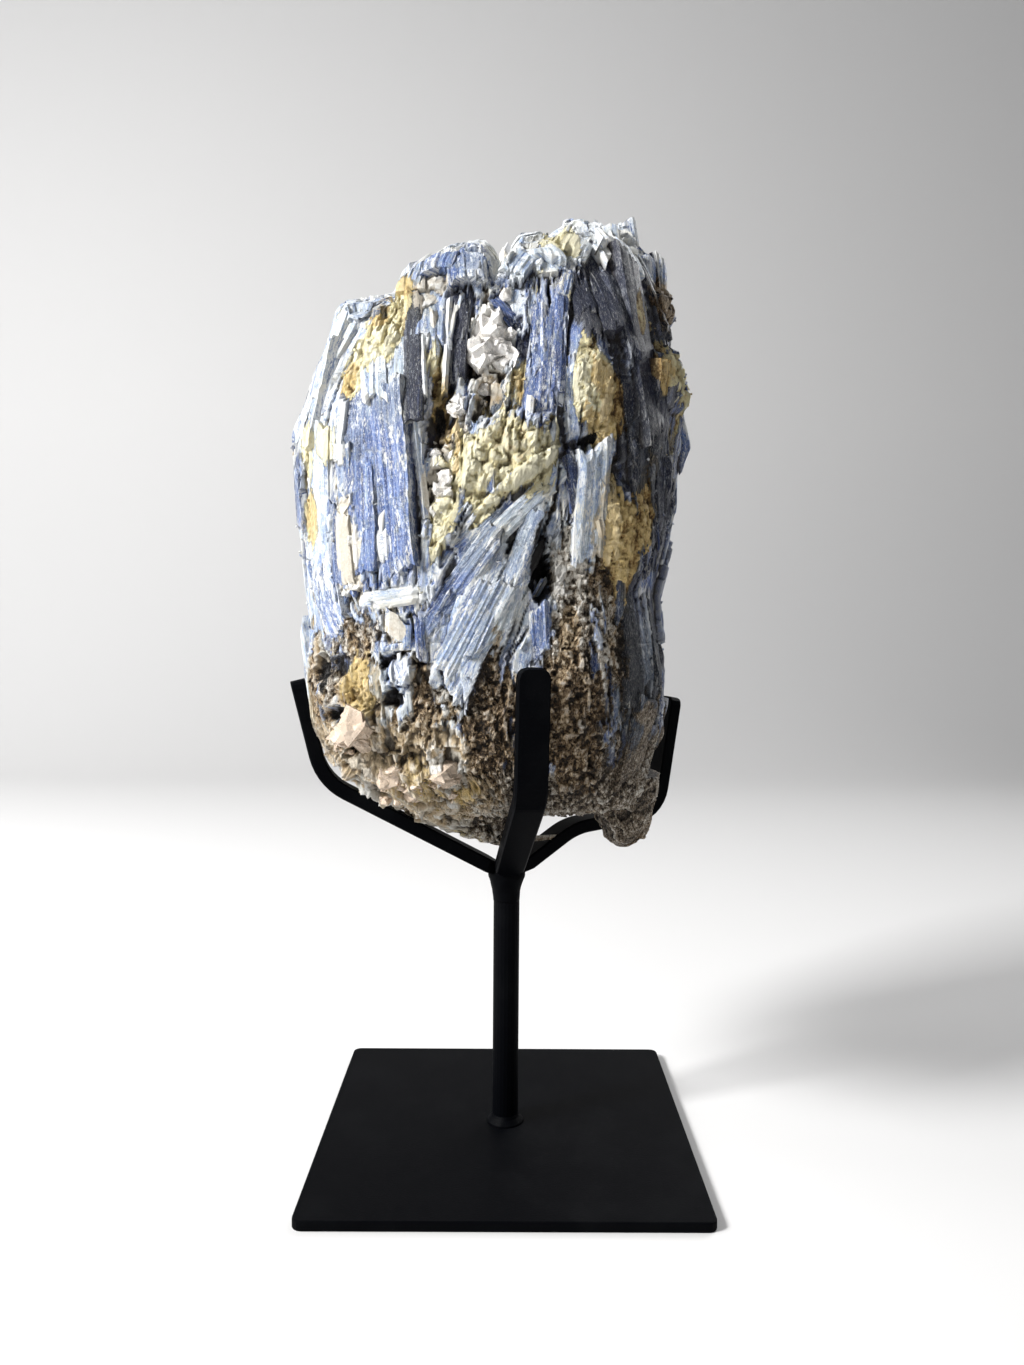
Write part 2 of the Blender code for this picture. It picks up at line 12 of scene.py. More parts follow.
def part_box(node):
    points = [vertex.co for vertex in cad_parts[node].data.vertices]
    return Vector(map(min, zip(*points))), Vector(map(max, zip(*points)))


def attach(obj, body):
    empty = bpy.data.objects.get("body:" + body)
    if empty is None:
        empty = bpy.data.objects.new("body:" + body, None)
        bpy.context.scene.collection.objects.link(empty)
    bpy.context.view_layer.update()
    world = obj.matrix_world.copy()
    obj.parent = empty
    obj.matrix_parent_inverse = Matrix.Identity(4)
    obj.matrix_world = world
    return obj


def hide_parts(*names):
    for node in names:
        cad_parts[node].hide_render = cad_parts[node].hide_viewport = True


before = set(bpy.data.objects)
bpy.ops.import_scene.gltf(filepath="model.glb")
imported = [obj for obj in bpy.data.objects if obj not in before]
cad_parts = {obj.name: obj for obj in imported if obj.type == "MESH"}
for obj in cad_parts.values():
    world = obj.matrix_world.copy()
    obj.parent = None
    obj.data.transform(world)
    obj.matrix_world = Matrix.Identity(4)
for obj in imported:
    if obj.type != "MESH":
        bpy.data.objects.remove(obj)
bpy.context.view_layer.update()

# Kyanite specimen on its steel stand. Shapes are worked out in millimetres, in the frame of the
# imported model: X to the right, Y to the back, Z up from the underside of the plate.
mm = 0.001


# Noise over arrays of points

def hash01(ix, iy, iz, seed):
    # A fixed value from 0 to 1 for each whole-number place and seed
    n = (ix * 374761393 + iy * 668265263 + iz * 1440662683 + seed * 1274126177) & 0xFFFFFFFF
    n = ((n ^ (n >> 13)) * 1274126177) & 0xFFFFFFFF
    n = ((n ^ (n >> 15)) * 1911520717) & 0xFFFFFFFF
    return ((n ^ (n >> 16)) & 0xFFFFFF) / float(0xFFFFFF)


def valueNoise(points, cell, seed):
    # Smooth noise from -1 to 1
    scaled = np.asarray(points, float) / cell
    base = np.floor(scaled).astype(np.int64)
    part = scaled - base
    part = part * part * (3 - 2 * part)
    total = np.zeros(len(scaled))
    for corner in product((0, 1), repeat=3):
        wx, wy, wz = (part[:, k] if corner[k] else 1 - part[:, k] for k in range(3))
        total += wx * wy * wz * hash01(*(base + corner).T, seed)
    return total * 2 - 1


def fractal(points, cell, octaves, seed):
    total = np.zeros(len(points))
    size = 1.0
    for octave in range(octaves):
        total += valueNoise(points, cell / 2 ** octave, seed + octave * 17) * size
        size *= 0.5
    return total / (2 - 2 * size)


def grains(points, cell, seed):
    # Distance to the nearest seeded point in cells, that grain's own value, and a slope across it
    scaled = np.asarray(points, float) / cell
    base = np.floor(scaled).astype(np.int64)
    nearest = np.full(len(scaled), 9.0)
    own, slope = np.zeros(len(scaled)), np.zeros(len(scaled))
    for corner in product((-1, 0, 1), repeat=3):
        cells = base + corner
        away = scaled - np.stack([cells[:, k] + hash01(*cells.T, seed + k) for k in range(3)], -1)
        gap = np.linalg.norm(away, axis=1)
        closer = gap < nearest
        value = hash01(*cells.T, seed + 3)
        leaning = away[:, 0] * np.cos(value * 40) + away[:, 1] * np.sin(value * 40) + away[:, 2] * np.sin(value * 70)
        nearest = np.where(closer, gap, nearest)
        own, slope = np.where(closer, value, own), np.where(closer, leaning, slope)
    return nearest, own, slope


def smooth(low, high, value):
    share = np.clip((value - low) / (high - low), 0, 1)
    return share * share * (3 - 2 * share)


def dome(gap):
    # A round cap, 1 high in the middle and 0 where the gap is 1
    return np.sqrt(np.clip(1 - gap * gap, 0, 1))


def unit(value):
    return min(1, max(0, value))


frontFade = (4, -26)    # depths between which a place comes to count as the front


def onFront(y):
    return smooth(*frontFade, y)


# The core that everything grows from; its levels follow the photo's outline inside the solid's box

coreShape = {
    # height, left, right, front, back of each level
    "levels": [
        (118.5, -28, 39, -24, 22), (121, -41, 45, -34, 31), (126, -49, 46.5, -40, 36), (134, -58, 47, -45, 40),
        (147, -64, 50.8, -48, 44), (165, -66.5, 51, -49.5, 46), (180, -64.8, 48, -50, 46.5),
        (190, -66, 46.8, -50.5, 47), (203, -67.5, 49.5, -50, 47), (215, -68.5, 52.5, -49.5, 47),
        (235, -70, 53.6, -48.5, 46), (247, -69.8, 55.6, -48, 45), (255, -67.4, 55.4, -47.5, 44),
        (270, -60, 52, -45, 41), (283, -57, 50.5, -41, 38), (291, -53, 46.5, -38, 36), (298, -47, 46, -34, 33),
        (303, -37, 45.5, -29, 29), (308, -22, 42, -23, 24), (311, -6, 40, -16, 17),
    ],
    "squareness": 2.8,
    "growth": 1.0,
}
levelTable = np.array(coreShape["levels"], float)


def levelAt(height):
    left, right, front, back = (np.interp(height, levelTable[:, 0], levelTable[:, k]) for k in (1, 2, 3, 4))
    return (left + right) / 2, (front + back) / 2, (right - left) / 2, (back - front) / 2


def corePoints(azimuth, height, swell=0.0):
    # Azimuth in degrees; works on single values and on arrays
    cx, cy, halfX, halfY = levelAt(height)
    c, s = np.cos(np.radians(azimuth)), np.sin(np.radians(azimuth))
    power = coreShape["squareness"]
    reach = (np.abs(c / halfX) ** power + np.abs(s / halfY) ** power) ** (-1 / power)
    reach = reach + coreShape["growth"] + swell
    return np.stack([cx + c * reach, cy + s * reach, height + 0 * reach], -1)


def frontAzimuth(x, height):
    cx, cy, halfX, halfY = levelAt(height)
    share = max(-0.97, min(0.97, (x - cx) / halfX))
    power = coreShape["squareness"]
    depth = halfY * (1 - abs(share) ** power) ** (1 / power)
    return math.degrees(math.atan2(-depth, share * halfX))


def surfaceFrame(azimuth, height):
    # Place on the core, and its axes across, up and out as the rows of an array
    step = 2.0
    place = corePoints(azimuth, height)
    across = corePoints(azimuth + step, height) - corePoints(azimuth - step, height)
    up = corePoints(azimuth, height + step) - corePoints(azimuth, height - step)
    across = across / np.linalg.norm(across)
    out = np.cross(across, up)
    out = out / np.linalg.norm(out)
    return place, np.array([across, np.cross(out, across), out])


def girthTable():
    # Azimuths and the way round the core at mid height, in millimetres
    azimuth = np.linspace(0, 360, 3601)
    outline = corePoints(azimuth, np.full(len(azimuth), 190.0))[:, :2]
    way = np.concatenate([[0], np.cumsum(np.linalg.norm(np.diff(outline, axis=0), axis=1))])
    return azimuth, way


girthAzimuth, girthWay = girthTable()


def wayRound(azimuth):
    return float(np.interp(azimuth % 360, girthAzimuth, girthWay))


# Minerals: where each shows on the front, as x, height, half width, half height, lean, strength

minerals = {
    "cream": [
        (-0.7, 231.5, 9.5, 17, 62, 1), (-41.5, 263.5, 5, 13, 38, 1), (-34.5, 277, 3.6, 8, 8, 0.9),
        (-23, 259, 3.4, 7, 0, 0.7), (-20, 247, 4.2, 10, -4, 0.75), (3.4, 251, 3.6, 12, -7, 0.85),
        (-22, 203, 4.6, 19, 18, 0.9), (-27, 199, 4, 5, 0, 0.9), (24, 257, 6.6, 17.5, -6, 1),
        (31, 250, 3.6, 15, -8, 0.8), (40.5, 276, 2.6, 9.5, -12, 0.85), (50, 258.5, 5.6, 10, -6, 1.9),
        (17.5, 298.5, 6, 3.6, 50, 0.95), (-58, 236, 3, 13, 2, 0.85), (-64, 235, 2.4, 9, 0, 0.7),
        (-63, 212, 3, 8, 0, 0.7), (-47, 160.5, 4.4, 7, 0, 0.85), (37, 209, 6.2, 15.5, -5, 0.85),
        (-24, 131, 10, 8, -30, 0.5), (-15.7, 127, 5, 4, 0, 0.7), (2.6, 223.5, 2.6, 15, 46, 0.7),
        (-53, 279, 3, 4, 0, 0.5), (51, 240, 2.5, 7, 0, 0.5), (8, 281, 1.6, 8, 8, 0.6),
    ],
    "quartz": [
        (-24, 277, 4.6, 12, -4, 0.9), (-5.5, 266, 7.2, 11, 0, 1), (-6, 251, 5.4, 6.5, 0, 0.9),
        (-1.3, 280, 2.8, 2.8, 0, 1), (-17, 237, 4, 12, 28, 1), (-21.5, 221, 4, 12, 4, 1),
        (-49.2, 204, 3.9, 13.5, -4, 0.95), (-46, 146, 8, 9.5, 0, 1), (-26, 132, 10, 10, -20, 0.85),
        (-59, 170, 2.5, 4, 0, 0.7), (-32.5, 178.5, 4.8, 5.4, 0, 1), (-8, 126, 7, 6, 0, 0.5),
        (-52, 134, 9, 9, 0, 0.8), (-38, 126, 12, 7, -20, 0.8),
    ],
    "mica": [
        (-56, 160, 6.5, 13, 0, 1), (-30, 148, 8.5, 9, 0, 1), (-5, 147, 9.5, 20, 4, 1), (-19, 157, 8, 8, 0, 0.85),
        (22, 173, 11, 26, -4, 0.95), (20, 144, 10, 22, 0, 1), (38, 126, 13, 20, 0, 1), (14, 196, 3, 9, -12, 0.7),
        (-48, 174, 9, 6, -25, 0.7), (-30, 136, 16, 9, 0, 0.6), (12, 128, 20, 12, 0, 0.9), (30, 190, 4, 8, 0, 0.5),
        (49.5, 286, 4, 7.5, 0, 2),
    ],
    "rust": [
        (-50.2, 253, 2, 4, 20, 1), (-20, 246, 4, 11, -4, 1), (-42, 262, 4, 10, 38, 0.2), (3.4, 251, 3, 11, -7, 0.6),
        (31, 248, 4, 14, -8, 0.9), (26, 240, 4, 4, 0, 0.9), (35.5, 209, 8, 17, -5, 1), (49.5, 257, 4.5, 9, -6, 0.7),
        (49, 286, 4, 8, 0, 2), (-47, 160, 4, 8, 0, 0.7), (-36, 134, 34, 28, 0, 1.2), (-15.7, 127, 6, 5, 0, 0.9),
        (-24, 128, 12, 7, -20, 0.6), (22, 160, 8, 16, 0, 0.8), (18, 140, 10, 16, 0, 0.85),
        (-34.5, 284, 5, 4, 0, 0.7), (-40.5, 277, 3, 3.5, 0, 0.8), (-63, 213, 2.5, 6, 0, 0.7),
        (-6, 251, 5, 6, 0, 0.5), (-2, 148, 11, 18, 0, 0.75), (27, 196, 2.6, 8, 0, 0.6), (-1, 236, 6, 7, 62, 0.35),
    ],
    "slate": [
        (40, 164, 8, 26, 0, 0.95), (-42, 154, 24, 16, 0, 0.8), (-4, 188, 18, 26, 30, 0.5),
        (-58, 240, 14, 40, 0, 0.4), (-3, 248, 4.6, 9, 0, 1), (3, 182, 4.6, 6.5, 0, 0.9), (41, 236, 6.5, 26, -5, 0.7),
        (-24, 277, 6, 14, -4, 1), (-8, 287, 9, 7, 0, 0.5), (-6, 213, 12, 5, 50, 0.8), (-12, 200, 4, 14, 36, 0.8),
        (-36, 252, 8, 14, 4, 0.6), (35, 278, 3.4, 12, -8, 0.6), (-60, 270, 12, 20, 0, 0.4),
        (38, 128, 14, 18, 0, 0.9),
    ],
    # pits: near-black painted shadow in the holes that the crust digs at the same places
    "pits": [
        (9.4, 197, 3, 10, 3, 1), (-35, 157.2, 2.4, 2, 0, 0.6), (-53, 151, 3.2, 2.4, 20, 1),
        (-58, 163, 2, 5, 10, 0.8), (-37.6, 166.6, 1.2, 4.2, -14, 0.8), (-51, 167, 1.6, 3, -30, 0.7),
        (22, 235.5, 4, 1.5, -25, 0.8), (-21, 241, 1.5, 5, 0, 0.8), (-13, 259, 1.1, 11, 0, 0.7),
        (-6.5, 246.5, 4, 2, 0, 0.5), (31, 224, 1.6, 6, 0, 0.5),
    ],
}

# Darkness of the blades: x, height, half width, half height, lean, tone; a zone listed twice weighs double
toneZones = [
    (-52, 258, 17, 32, 0, 0.2), (-60, 212, 8, 42, 0, 0.28), (-39, 224, 11, 32, 0, 0.44), (20, 304, 36, 10, 0, 0),
    (-22, 301, 16, 8, 0, 0.16), (-8, 288, 9, 7, 0, 0.5), (27, 278, 11, 18, 0, 0.97), (41, 246, 8, 40, -4, 0.94),
    (52, 240, 6, 50, 0, 0.88), (11, 262, 6, 22, 4, 0.5), (-5, 190, 15, 24, 30, 0.3), (23, 213, 5, 17, 0, 0.2),
    (40, 164, 8, 28, 0, 0.86), (-5, 146, 9, 20, 0, 0.76), (20, 144, 10, 22, 0, 0.8), (22, 180, 9, 16, 0, 0.34),
    (38, 126, 14, 19, 0, 0.78), (-56, 160, 7, 13, 0, 0.86), (-30, 148, 8, 8, 0, 0.74), (-38, 135, 24, 22, 0, 0.06),
    (-46, 146, 9, 11, 0, 0.06), (-1, 231, 14, 16, 0, 0.16), (-24, 277, 5, 12, 0, 0.5), (-26, 131, 12, 9, 0, 0.42),
    (23, 257, 7, 17, 0, 0.15), (-19, 156, 8, 8, 0, 0.36), (-32.6, 166, 5, 5.4, 0, 0.46),
    (-32.6, 166, 5, 5.4, 0, 0.46), (-32.5, 178.5, 5, 5, 0, 0.2), (49.5, 286, 4, 7, 0, 0.7),
    (49.5, 286, 4, 7, 0, 0.7), (-5, 266, 8, 12, 0, 0), (-6, 250, 6, 6, 0, 0.4), (36, 209, 8, 16, 0, 0.8),
    (49.5, 258, 5, 10, 0, 0.65), (-49.2, 204, 4, 14, -4, 0.5), (-49.2, 204, 4, 14, -4, 0.5),
]

mineralEdge = {"noise": 1.7, "own": 0.9, "cell": 9.0, "reach": (1.34, 0.72)}
micaLine = (157.0, 13.0)    # height below which the rock is brown all round, and its blur
backDark = (0.22, 0.62)     # range of the darkness of the blades on the sides and back
# Sides and back: strength, noise where each starts and is full, cell, octaves, seed, and each blade's own shift
backMinerals = {
    "cream": (1.0, 0.2, 0.32, 17, 4, 91, 0.3), "quartz": (1.0, 0.34, 0.42, 13, 3, 131, 0.3),
    "rust": (0.9, 0.12, 0.4, 15, 3, 171, 0), "slate": (0.8, -0.05, 0.3, 30, 3, 191, 0),
}
# Underside: heights between which each comes in on the front, and how far left quartz does
undersides = {"mica": (144, 134), "quartz": (154, 141), "left": (-6, -20)}


def patchGap(x, z, patch):
    # Distance from the middle of a leaning oval, 1 at its edge
    px, pz, halfX, halfZ, lean = patch[:5]
    c, s = math.cos(math.radians(lean)), math.sin(math.radians(lean))
    dx, dz = x - px, z - pz
    return np.hypot((dx * c - dz * s) / halfX, (dx * s + dz * c) / halfZ)


def brown(height):
    return smooth(micaLine[0] + micaLine[1], micaLine[0] - micaLine[1], height)


def mineralFields(points, own=0.5, resist=0.0):
    # Amount of each mineral at every point, from 0 to 1; own moves the edge of each blade by itself
    x, y, z = points.T
    facing = onFront(y)
    away = 1 - facing
    stretched = points * np.array([1, 1, 0.4])
    wobble = fractal(stretched, mineralEdge["cell"], 4, 5) * mineralEdge["noise"]
    wobble = wobble + (own - 0.5) * mineralEdge["own"]
    fields = {}
    for kind, patches in minerals.items():
        amount = np.zeros(len(points))
        for patch in patches:
            gap = patchGap(x, z, patch) + wobble * (0.8 if kind == "pits" else 1.0)
            gap = gap + resist * (kind not in ("slate", "rust"))
            amount = np.maximum(amount, smooth(*mineralEdge["reach"], gap) * patch[5])
        fields[kind] = amount * facing

    def spread(kind, amount):
        fields[kind] = np.maximum(fields[kind], amount)

    for kind, (strength, start, full, cell, octaves, seed, shift) in backMinerals.items():
        patchy = fractal(stretched, cell, octaves, seed) + (own - 0.5) * shift
        spread(kind, away * strength * smooth(start, full, patchy))
    low = brown(z + 18 * wobble)
    under = smooth(*undersides["mica"], z + 6 * wobble)
    underLeft = smooth(*undersides["quartz"], z) * smooth(*undersides["left"], x) * np.clip(1.15 + wobble, 0, 1.5)
    spread("quartz", facing * underLeft)
    spread("mica", low * 0.95 * away + facing * np.maximum(0.35 * low, 0.95 * under))
    spread("rust", low * away * 0.6 * smooth(-0.2, 0.3, fractal(stretched, 9, 3, 211)))
    return fields


def darkness(points):
    x, y, z = points.T
    facing = onFront(y)
    total, weight = np.full(len(points), 0.42 * 0.2), np.full(len(points), 0.2)
    for zone in toneZones:
        share = smooth(1.35, 0.7, patchGap(x, z, zone))
        total += share * zone[5]
        weight += share
    stretched = points * np.array([1, 1, 0.35])
    behind = 0.5 * sum(backDark) + (backDark[1] - backDark[0]) * 1.1 * fractal(stretched, 26, 3, 221)
    low = brown(z)
    behind = behind * (1 - low) + low * 0.68
    return np.clip(facing * total / weight + (1 - facing) * behind, 0, 1)


# Way the blades lean on the front: x, height, half width, half height, 0, degrees
leanZones = [
    (-4, 195, 17, 28, 0, 31), (30, 275, 12, 30, 0, -9), (42, 250, 10, 40, 0, -7), (-52, 268, 14, 26, 0, 13),
    (-36, 255, 9, 14, 0, -8), (-40, 215, 12, 30, 0, -4), (10, 262, 8, 24, 0, 5), (-25, 270, 5, 30, 0, -6),
    (22, 300, 26, 9, 0, 22), (-46, 160, 12, 10, 0, 8), (24, 150, 14, 26, 0, -10), (-50, 180, 12, 10, 0, -22),
]


def bladeLean(x, y, z, chance):
    spot = np.array([[x, y, z]])
    facing = float(onFront(y))
    total, weight = 0.0, 0.35
    for zone in leanZones:
        share = float(smooth(1.3, 0.6, patchGap(spot[:, 0], spot[:, 2], zone))[0]) * facing
        total += share * zone[5]
        weight += share
    return total / weight + 9 * float(valueNoise(spot, 38, 61)[0]) + chance.gauss(0, 4.5)


def linked(name, data):
    made = bpy.data.objects.new(name, data)
    bpy.context.scene.collection.objects.link(made)
    return made


def addStone(name, mesh):
    made = linked(name, mesh)
    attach(made, "root")
    return made


def ringFaces(rows, columns):
    # Place of each point in rings above each other, the point beside it, and the faces between the rings
    index = np.arange(rows * columns).reshape(rows, columns)
    beside = np.roll(index, -1, axis=1)
    return index, beside, np.stack([index[:-1], beside[:-1], beside[1:], index[1:]], -1).reshape(-1, 4)


# Gathering meshes: points in millimetres, faces, and the values that the finish reads

pointValues = ("tone", "fray", "hollow", "own")


class StoneMesh:
    def __init__(self):
        self.points, self.faces, self.grain, self.keen, self.resist = [], [], [], [], []
        self.values = {key: [] for key in pointValues}
        self.count = 0

    def add(self, points, faces, grain, tone=0.5, fray=0.3, hollow=0.5, own=0.5, resist=0.0, smoothFaces=False):
        start = self.count
        self.points.append(points)
        self.faces.extend([tuple(start + i for i in face) for face in faces])
        for key, value in zip(pointValues, (tone, fray, hollow, own)):
            self.values[key].append(np.broadcast_to(value, len(points)))
        self.resist.append(np.broadcast_to(resist, len(points)))
        self.grain.append(grain)
        self.keen.append(np.broadcast_to(smoothFaces, len(faces)))
        self.count += len(points)

    def make(self, name, finish):
        points = clearOfArms(underCrown(np.concatenate(self.points)))
        mesh = bpy.data.meshes.new(name)
        mesh.from_pydata((points * mm).tolist(), [], self.faces)
        values = {key: np.concatenate(parts) for key, parts in self.values.items()}
        fields = mineralFields(points, values.pop("own"), np.concatenate(self.resist))
        fields.update(values)
        for key, amount in fields.items():
            mesh.attributes.new(key, "FLOAT", "POINT").data.foreach_set("value", amount.astype(np.float32))
        grain = np.concatenate(self.grain).astype(np.float32).ravel()
        mesh.attributes.new("grain", "FLOAT_VECTOR", "POINT").data.foreach_set("vector", grain)
        mesh.materials.append(finish)
        mesh.polygons.foreach_set("use_smooth", np.concatenate(self.keen).astype(bool))
        mesh.update()
        print(name, "made,", sum(len(f) - 2 for f in self.faces), "triangles")
        return addStone(name, mesh)


# Crown: how high the stone reaches over each x, where its outline shows, and its broken steps
crown = {
    "line": [
        (-74, 238), (-70, 246), (-66, 256), (-62, 270), (-58, 283), (-54, 289), (-43, 287.5), (-36.4, 288.5),
        (-34, 297), (-28, 302), (-22, 305.5), (-16, 307.5), (-9.5, 307), (-6, 302.5), (-4, 296), (-1.6, 297),
        (-0.6, 305), (2, 309.5), (12, 311), (17, 315.5), (28, 318), (34, 315.5), (38, 319), (42, 318.5), (45, 315),
        (48, 310), (52, 305.5), (56, 301), (58, 290), (66, 262),
    ],
    # the same towards the back, where the notch closes
    "behind": [
        (-74, 240), (-66, 262), (-58, 282), (-48, 292), (-36, 299), (-18, 306), (0, 310), (20, 315), (40, 314),
        (50, 305), (58, 287), (66, 262),
    ],
    "at": -12.0, "front": 0.42, "back": 0.22, "flat": (16, 0.2), "give": 0.2, "closes": (12.0, 30.0),
    # broken steps, sway of the line towards the back, and of the place where the notch closes: size, cell, seed
    "steps": (5.0, 7.5, 301), "bend": (4.0, 9, 311), "closing": (6, 14, 313),
    # how far right the stone reaches at each height
    "right": [
        (110, 49.5), (117, 50), (124, 52), (138, 53.6), (145, 55), (151, 56.3), (158, 54.8), (172, 53.8),
        (192, 52.4), (206, 55.8), (233, 56.6), (240, 60.6), (253, 61.4), (267, 59.7), (281, 55.8), (294, 54.6),
        (309, 50),
    ],
}
crownLine = np.array(crown["line"], float)
backLine, rightLine = np.array(crown["behind"], float), np.array(crown["right"], float)
stoneBox = np.array([list(c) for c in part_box("kyanite_cluster")]) / mm


def underCrown(points):
    # Draws in every point above the crown's line or past the right side's
    x, y, z = points.T
    cells = points * np.array([1, 1, 0.0])
    tall, cell, seed = crown["steps"]
    steps = (grains(cells, cell, seed)[1] - 0.75) * tall
    behind = y - crown["at"]
    sway, cell, seed = crown["bend"]
    bend = x + sway * valueNoise(points * np.array([0.2, 1, 0]), cell, seed) * smooth(0, 12, np.abs(behind))
    sway, cell, seed = crown["closing"]
    closed = smooth(*crown["closes"], behind + sway * valueNoise(cells, cell, seed))
    limit = np.interp(bend, crownLine[:, 0], crownLine[:, 1]) * (1 - closed)
    limit = limit + np.interp(x, backLine[:, 0], backLine[:, 1]) * closed + steps
    deep, climb = crown["flat"]
    limit = limit + np.where(behind < 0, behind * crown["front"], np.minimum(behind, deep) * climb)
    limit = limit - np.maximum(behind - deep, 0) * crown["back"]
    points[:, 2] = np.where(z > limit, limit + (z - limit) * crown["give"], z)
    side = np.interp(z, rightLine[:, 0], rightLine[:, 1])
    points[:, 0] = np.where(x > side, side + (x - side) * crown["give"], x)
    return np.clip(points, stoneBox[0] + 0.15, stoneBox[1] - 0.15)


armRoom = {"arms": ("arm_left", "arm_front", "arm_right"), "clear": 0.5, "reach": 16.0, "near": 3.0}


def armTree():
    graph = bpy.context.evaluated_depsgraph_get()
    trees = []
    for name in armRoom["arms"]:
        low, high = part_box(name)
        trees.append((np.array(low) / mm, np.array(high) / mm, BVHTree.FromObject(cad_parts[name], graph)))
    return trees


armTrees = armTree()


def clearOfArms(points):
    # Draws every point under an arm inwards, so that the stone rests against it and not in it
    near = armRoom["near"]
    for low, high, tree in armTrees:
        inside = np.all((points > low - near) & (points < high + near), axis=1)
        for i in np.nonzero(inside)[0]:
            x, y, z = points[i]
            cx, cy, _, _ = levelAt(z)
            out = Vector((x - cx, y - cy, 0.0))
            if out.length < 1.0:
                continue
            out.normalize()
            start = Vector(points[i]) - out * armRoom["reach"]
            hit = tree.ray_cast(start * mm, out, (armRoom["reach"] + 10.0) * mm)
            if hit[0] is not None:
                room = hit[3] / mm - armRoom["clear"]
                if room < armRoom["reach"]:
                    points[i] = np.array(start + out * room)
    return points


# Blades of the front, as in the solid and a few between them

